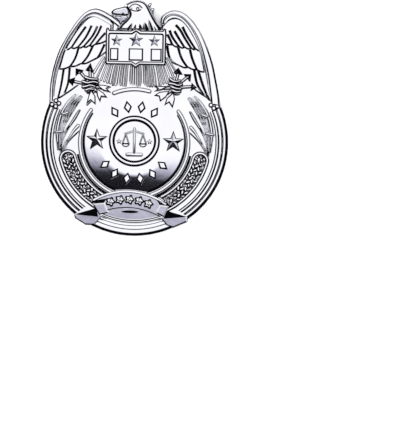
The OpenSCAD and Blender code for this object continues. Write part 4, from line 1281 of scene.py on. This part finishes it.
def buildRibbon():
    mid = (0, ribbon["crown"] - ribbon["bend"])
    half = math.degrees(math.asin(ribbon["width"] / 2 / ribbon["bend"]))
    footHalf = math.degrees(math.asin((ribbon["width"] / 2 - ribbon["footIn"]) / ribbon["bend"]))
    upper = arcLine(mid, ribbon["bend"], 90 + half, 90 - half, 14)
    lower = arcLine((0, mid[1] - ribbon["band"]), ribbon["bend"], 90 - footHalf, 90 + footHalf, 12)
    band = raised("band", ribbonPlace(upper + lower), baseZ, plateZ + ribbon["field"],
                  ribbon["fieldRound"])
    for corner in band.data.vertices:
        if corner.co.z > plateZ * mm:
            corner.co.z += (corner.co.y - ribbon["bandY"] * mm) * ribbon["tilt"]
    lip = ribbonPlace(shifted(upper, ribbon["lipShift"]))
    shapes = [strip("upperLip", lip, ribbon["lipWidth"], baseZ, plateZ + ribbon["lip"],
                    ribbon["lipRound"])]

    lens = arcLine(rimMid, ribbon["lensReach"], 250, 289, 16)
    lens += ribbonPlace(shifted(lower, ribbon["lipShift"]))
    shapes.append(facet("lens", leaning(lens, ribbon["lens"]), baseZ))
    dimple = ribbon["dimple"]
    foot = dimple["middle"][1] - dimple["wide"]
    oval = [(dimple["middle"][0] + dimple["long"] * math.cos(math.radians(a)),
             dimple["middle"][1] + dimple["wide"] * math.sin(math.radians(a))) for a in range(0, 360, 15)]
    oval = [(x, y, z + dimple["rise"] + (y - foot) * dimple["lean"])
            for x, y, z in leaning(oval, ribbon["lens"])]
    shapes.append(facet("dimple", oval, baseZ))

    level, radius, petal = plateZ + ribbon["rosette"], ribbon["rosetteRadius"], ribbon["petal"]
    for k in range(ribbon["rosettes"]):
        turn = 90 - (k - (ribbon["rosettes"] - 1) / 2) * ribbon["rosetteStep"]
        place = around(mid, ribbon["bend"] - ribbon["band"] / 2 - ribbon["rosetteFall"], turn)
        petals = [around(place, radius + petal * math.cos(math.radians(a * 5)), a)
                  for a in range(0, 360, 12)]
        eye = ribbonPlace(circle(place, ribbon["eyeRadius"], 8))
        shapes.append(raised("rosette", ribbonPlace(petals), plateZ + ribbon["rosetteFoot"], level,
                             ribbon["rosetteRound"]))
        shapes.append(facetted("rosetteEye", eye, plateZ + ribbon["eyeFoot"], level + ribbon["eyeWall"],
                               level + ribbon["eyePeak"]))

    creaseTop = leaning([(0, ribbon["bandY"])], ribbon["crease"])[0][2]
    for crease in ribbon["creases"]:
        cut(band, wedge(smoothLine(crease, 3), ribbon["creaseWidth"], creaseTop, (False, False),
                        ribbon["creaseSlope"]))
    for corners in ribbon["shades"]:
        shapes.append(facet("shade", [(x, y, plateZ + z) for x, y, z in corners], baseZ))
    for end in ribbon["ends"]:
        bandEnd = facet("bandEnd", leaning(end, ribbon["endHeight"]), baseZ)
        shapes.append(slopedEdge(bandEnd, *ribbon["slope"]))
    for tail in ribbon["tails"]:
        plane = facet("tail", leaning(tail["plane"], ribbon["tailHeight"]), baseZ)
        shapes.append(slopedEdge(plane, *ribbon["slope"]))
        tip = leaning([tail["tip"]], ribbon["tailHeight"] + ribbon["tipRise"])[0]
        valley = leaning([tail["valley"]], ribbon["tailHeight"] + ribbon["valleyRise"])[0]
        ridge = (*tail["ridge"], tip[2] + ribbon["foldRise"])
        top = (*tail["top"], tip[2] + ribbon["foldRise"] * ribbon["foldTop"])
        shapes.append(facet("foldSide", [tip, valley, ridge], baseZ))
        shapes.append(facet("foldTop", [tip, ridge, top], baseZ))
    rooted(band, centreZ - ribbon["bandRoot"])
    for shape in shapes:
        rooted(shape)
    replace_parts(finished("ribbon", [band] + shapes, chrome, smooth=25), "shell")


# The strap across the hollow and the clip's spring tongue
clip = dict(slotWidth=6.3, slotFoot=-8.6, strapEdge=0.12, tongueWidth=5.8, tongueFoot=-6.9, tongueTop=1.4,
            headWidth=9.6, headTop=21.2, shoulder=13.5, edge=0.25, postHole=2.2)


def buildStrap():
    left, right = strapLow.x / mm, strapHigh.x / mm
    foot, top = strapLow.y / mm, strapHigh.y / mm
    half = clip["slotWidth"] / 2
    slot = arcLine((0, clip["slotFoot"] + half), half, 0, -180, 20)
    outline = [(left, foot), (right, foot), (right, top), (half, top), *slot, (-half, top), (left, top)]
    strap = turnOver(raised("strap", outline, -strapHigh.z / mm, -strapLow.z / mm, clip["strapEdge"]))
    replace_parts(finished("clipStrap", [strap], chromeBack), "strap")


def buildTongue():
    half, headHalf = clip["tongueWidth"] / 2, clip["headWidth"] / 2
    foot = arcLine((0, clip["tongueFoot"] + half), half, -180, 0, 16)
    crown = arcLine((0, clip["headTop"] - headHalf), headHalf, 0, 180, 24)
    tongue = raised("tongue", foot + [(half, clip["shoulder"] + 1), (-half, clip["shoulder"] + 1)],
                    -clip["tongueTop"], 0, clip["edge"])
    grip = raised("grip", crown + [(-headHalf, clip["shoulder"]), (headHalf, clip["shoulder"])],
                  -tongueTop / mm, 0, clip["edge"])
    tongue = cut(turnOver(tongue), turnOver(grip), 'UNION', own=False)
    cut(tongue, block("hole", circle(body["post"][0], clip["postHole"], 48), -1, 5), own=False)
    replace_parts(finished("clipTongue", [tongue], chromeBack), "clip_tongue")


print("body")
buildBody()
print("rim and wings")
buildRim()
buildWing("leftWing", wings["left"])
buildWing("rightWing", wings["right"])
print("head, shield and breast")
buildHead()
buildShield()
buildBreast()
print("arrows")
buildArrows("leftArrows", arrows["left"])
buildArrows("rightArrows", arrows["right"])
print("disc and seal")
buildDisc()
buildMarks()
buildSeal()
print("sprays, laurel and ribbon")
buildSpray("leftSpray", 1)
buildSpray("rightSpray", -1)
buildLaurel("leftLaurel", -1)
buildLaurel("rightLaurel", 1)
buildRibbon()
print("clip")
buildStrap()
buildTongue()


# Camera, floor and light; the badge stands left of and above the picture's middle
view = dict(distance=700, frameWidth=140.0, picture=(400, 422), sensor=36, badgeRight=-22.75,
            badgeUp=32.46, roll=1.0, focusZ=4.2, clip=(0.01, 20))      # clip in metres


def makeCamera():
    camera = bpy.data.objects.new("camera", bpy.data.cameras.new("camera"))
    bpy.context.scene.collection.objects.link(camera)
    turn = math.radians(view["roll"])
    right = Vector((math.cos(turn), math.sin(turn)))
    up = Vector((-math.sin(turn), math.cos(turn)))
    middle = right * -view["badgeRight"] - up * view["badgeUp"]
    camera.location = (middle.x * mm, middle.y * mm, (view["focusZ"] + view["distance"]) * mm)
    camera.rotation_euler = (0, 0, turn)
    wide, high = view["picture"]
    camera.data.sensor_width = view["sensor"]
    camera.data.lens = view["sensor"] * view["distance"] / (view["frameWidth"] * high / wide)
    camera.data.clip_start, camera.data.clip_end = view["clip"]
    bpy.context.scene.camera = camera


studio = dict(
    lampMiddle=0.30, leastUp=0.02,      # leastUp keeps the division finite at the horizon
    lampEdge=[(0.485, (1.12, 1.12, 1.14, 1)), (0.52, (0.78, 0.78, 0.88, 1)), (0.548, (0.4, 0.4, 0.5, 1)),
              (0.575, (0.012, 0.012, 0.016, 1)), (0.75, (0.002, 0.002, 0.003, 1))],
    wallRamp=[(0.0, (0.004, 0.004, 0.005, 1)), (0.42, (0.012, 0.012, 0.016, 1)),
              (0.5, (0.6, 0.6, 0.68, 1)), (0.6, (1, 1, 1, 1)), (0.66, (0.8, 0.8, 0.85, 1)),
              (0.69, (0.003, 0.003, 0.004, 1))],
)


def makeWorld():
    # a dark room with a large round lamp above, one below, and a bright band round the horizon
    world = bpy.data.worlds.new("studio")
    bpy.context.scene.world = world
    world.use_nodes = True
    nodes, links = world.node_tree.nodes, world.node_tree.links

    def mathNode(operation, a, b=None, extra=None):
        node = nodes.new("ShaderNodeMath")
        node.operation = operation
        for socket, value in zip(node.inputs, (a, b, extra)):
            if value is None:
                continue
            if isinstance(value, (int, float)):
                socket.default_value = value
            else:
                links.new(value, socket)
        return node.outputs[0]

    place = nodes.new("ShaderNodeTexCoord")
    parts = nodes.new("ShaderNodeSeparateXYZ")
    links.new(place.outputs["Generated"], parts.inputs[0])
    x, y, z = parts.outputs
    above = mathNode('MAXIMUM', mathNode('ABSOLUTE', z), studio["leastUp"])
    across = mathNode('DIVIDE', x, above)
    along = mathNode('SUBTRACT', mathNode('DIVIDE', y, above), studio["lampMiddle"])
    squares = mathNode('ADD', mathNode('MULTIPLY', across, across), mathNode('MULTIPLY', along, along))
    away = mathNode('SQRT', squares)

    def ramp(value, steps):
        node = nodes.new("ShaderNodeValToRGB")
        while len(node.color_ramp.elements) < len(steps):
            node.color_ramp.elements.new(0.5)
        for element, (position, colour) in zip(node.color_ramp.elements, steps):
            element.position, element.color = position, colour
        links.new(value, node.inputs["Fac"])
        return node.outputs["Color"]

    mix = nodes.new("ShaderNodeMix")
    mix.data_type = 'RGBA'
    mix.blend_type = 'LIGHTEN'
    mix.inputs["Factor"].default_value = 1
    links.new(ramp(away, studio["lampEdge"]), mix.inputs["A"])
    links.new(ramp(mathNode('MULTIPLY_ADD', z, 0.5, extra=0.5), studio["wallRamp"]), mix.inputs["B"])
    links.new(mix.outputs["Result"], nodes["Background"].inputs["Color"])


paper = dict(size=4, roughness=0.9, grain=40, tints=((0.86, 0.86, 0.87, 1), (0.9, 0.9, 0.905, 1)))
lampLook = dict(power=120, size=4, place=(0, 0.1, 1.3))     # watts and metres


def makeFloor():
    bpy.ops.object.select_all(action='DESELECT')
    bpy.ops.mesh.primitive_plane_add(size=paper["size"])
    floor = bpy.context.object
    floor.name = "floor"
    material = bpy.data.materials.new("floorPaper")
    material.use_nodes = True
    nodes, links = material.node_tree.nodes, material.node_tree.links
    shader = nodes["Principled BSDF"]
    shader.inputs["Roughness"].default_value = paper["roughness"]
    shader.inputs["Specular IOR Level"].default_value = 0
    place = nodes.new("ShaderNodeTexCoord")
    grain = nodes.new("ShaderNodeTexNoise")
    grain.inputs["Scale"].default_value = paper["grain"]
    links.new(place.outputs["Object"], grain.inputs["Vector"])
    tint = nodes.new("ShaderNodeValToRGB")
    tint.color_ramp.elements[0].color, tint.color_ramp.elements[1].color = paper["tints"]
    links.new(grain.outputs["Fac"], tint.inputs["Fac"])
    links.new(tint.outputs["Color"], shader.inputs["Base Color"])
    floor.data.materials.append(material)
    floor.visible_glossy = False


def makeLamp():
    # lights the floor; the chrome sees the room's lamp instead
    lamp = bpy.data.lights.new("floorLamp", 'AREA')
    lamp.size = lampLook["size"]
    lamp.energy = lampLook["power"]
    holder = bpy.data.objects.new("floorLamp", lamp)
    holder.location = lampLook["place"]
    bpy.context.scene.collection.objects.link(holder)
    holder.visible_glossy = False


print("camera, floor and light")
makeCamera()
makeWorld()
makeFloor()
makeLamp()
bpy.context.scene.view_settings.view_transform = 'Standard'
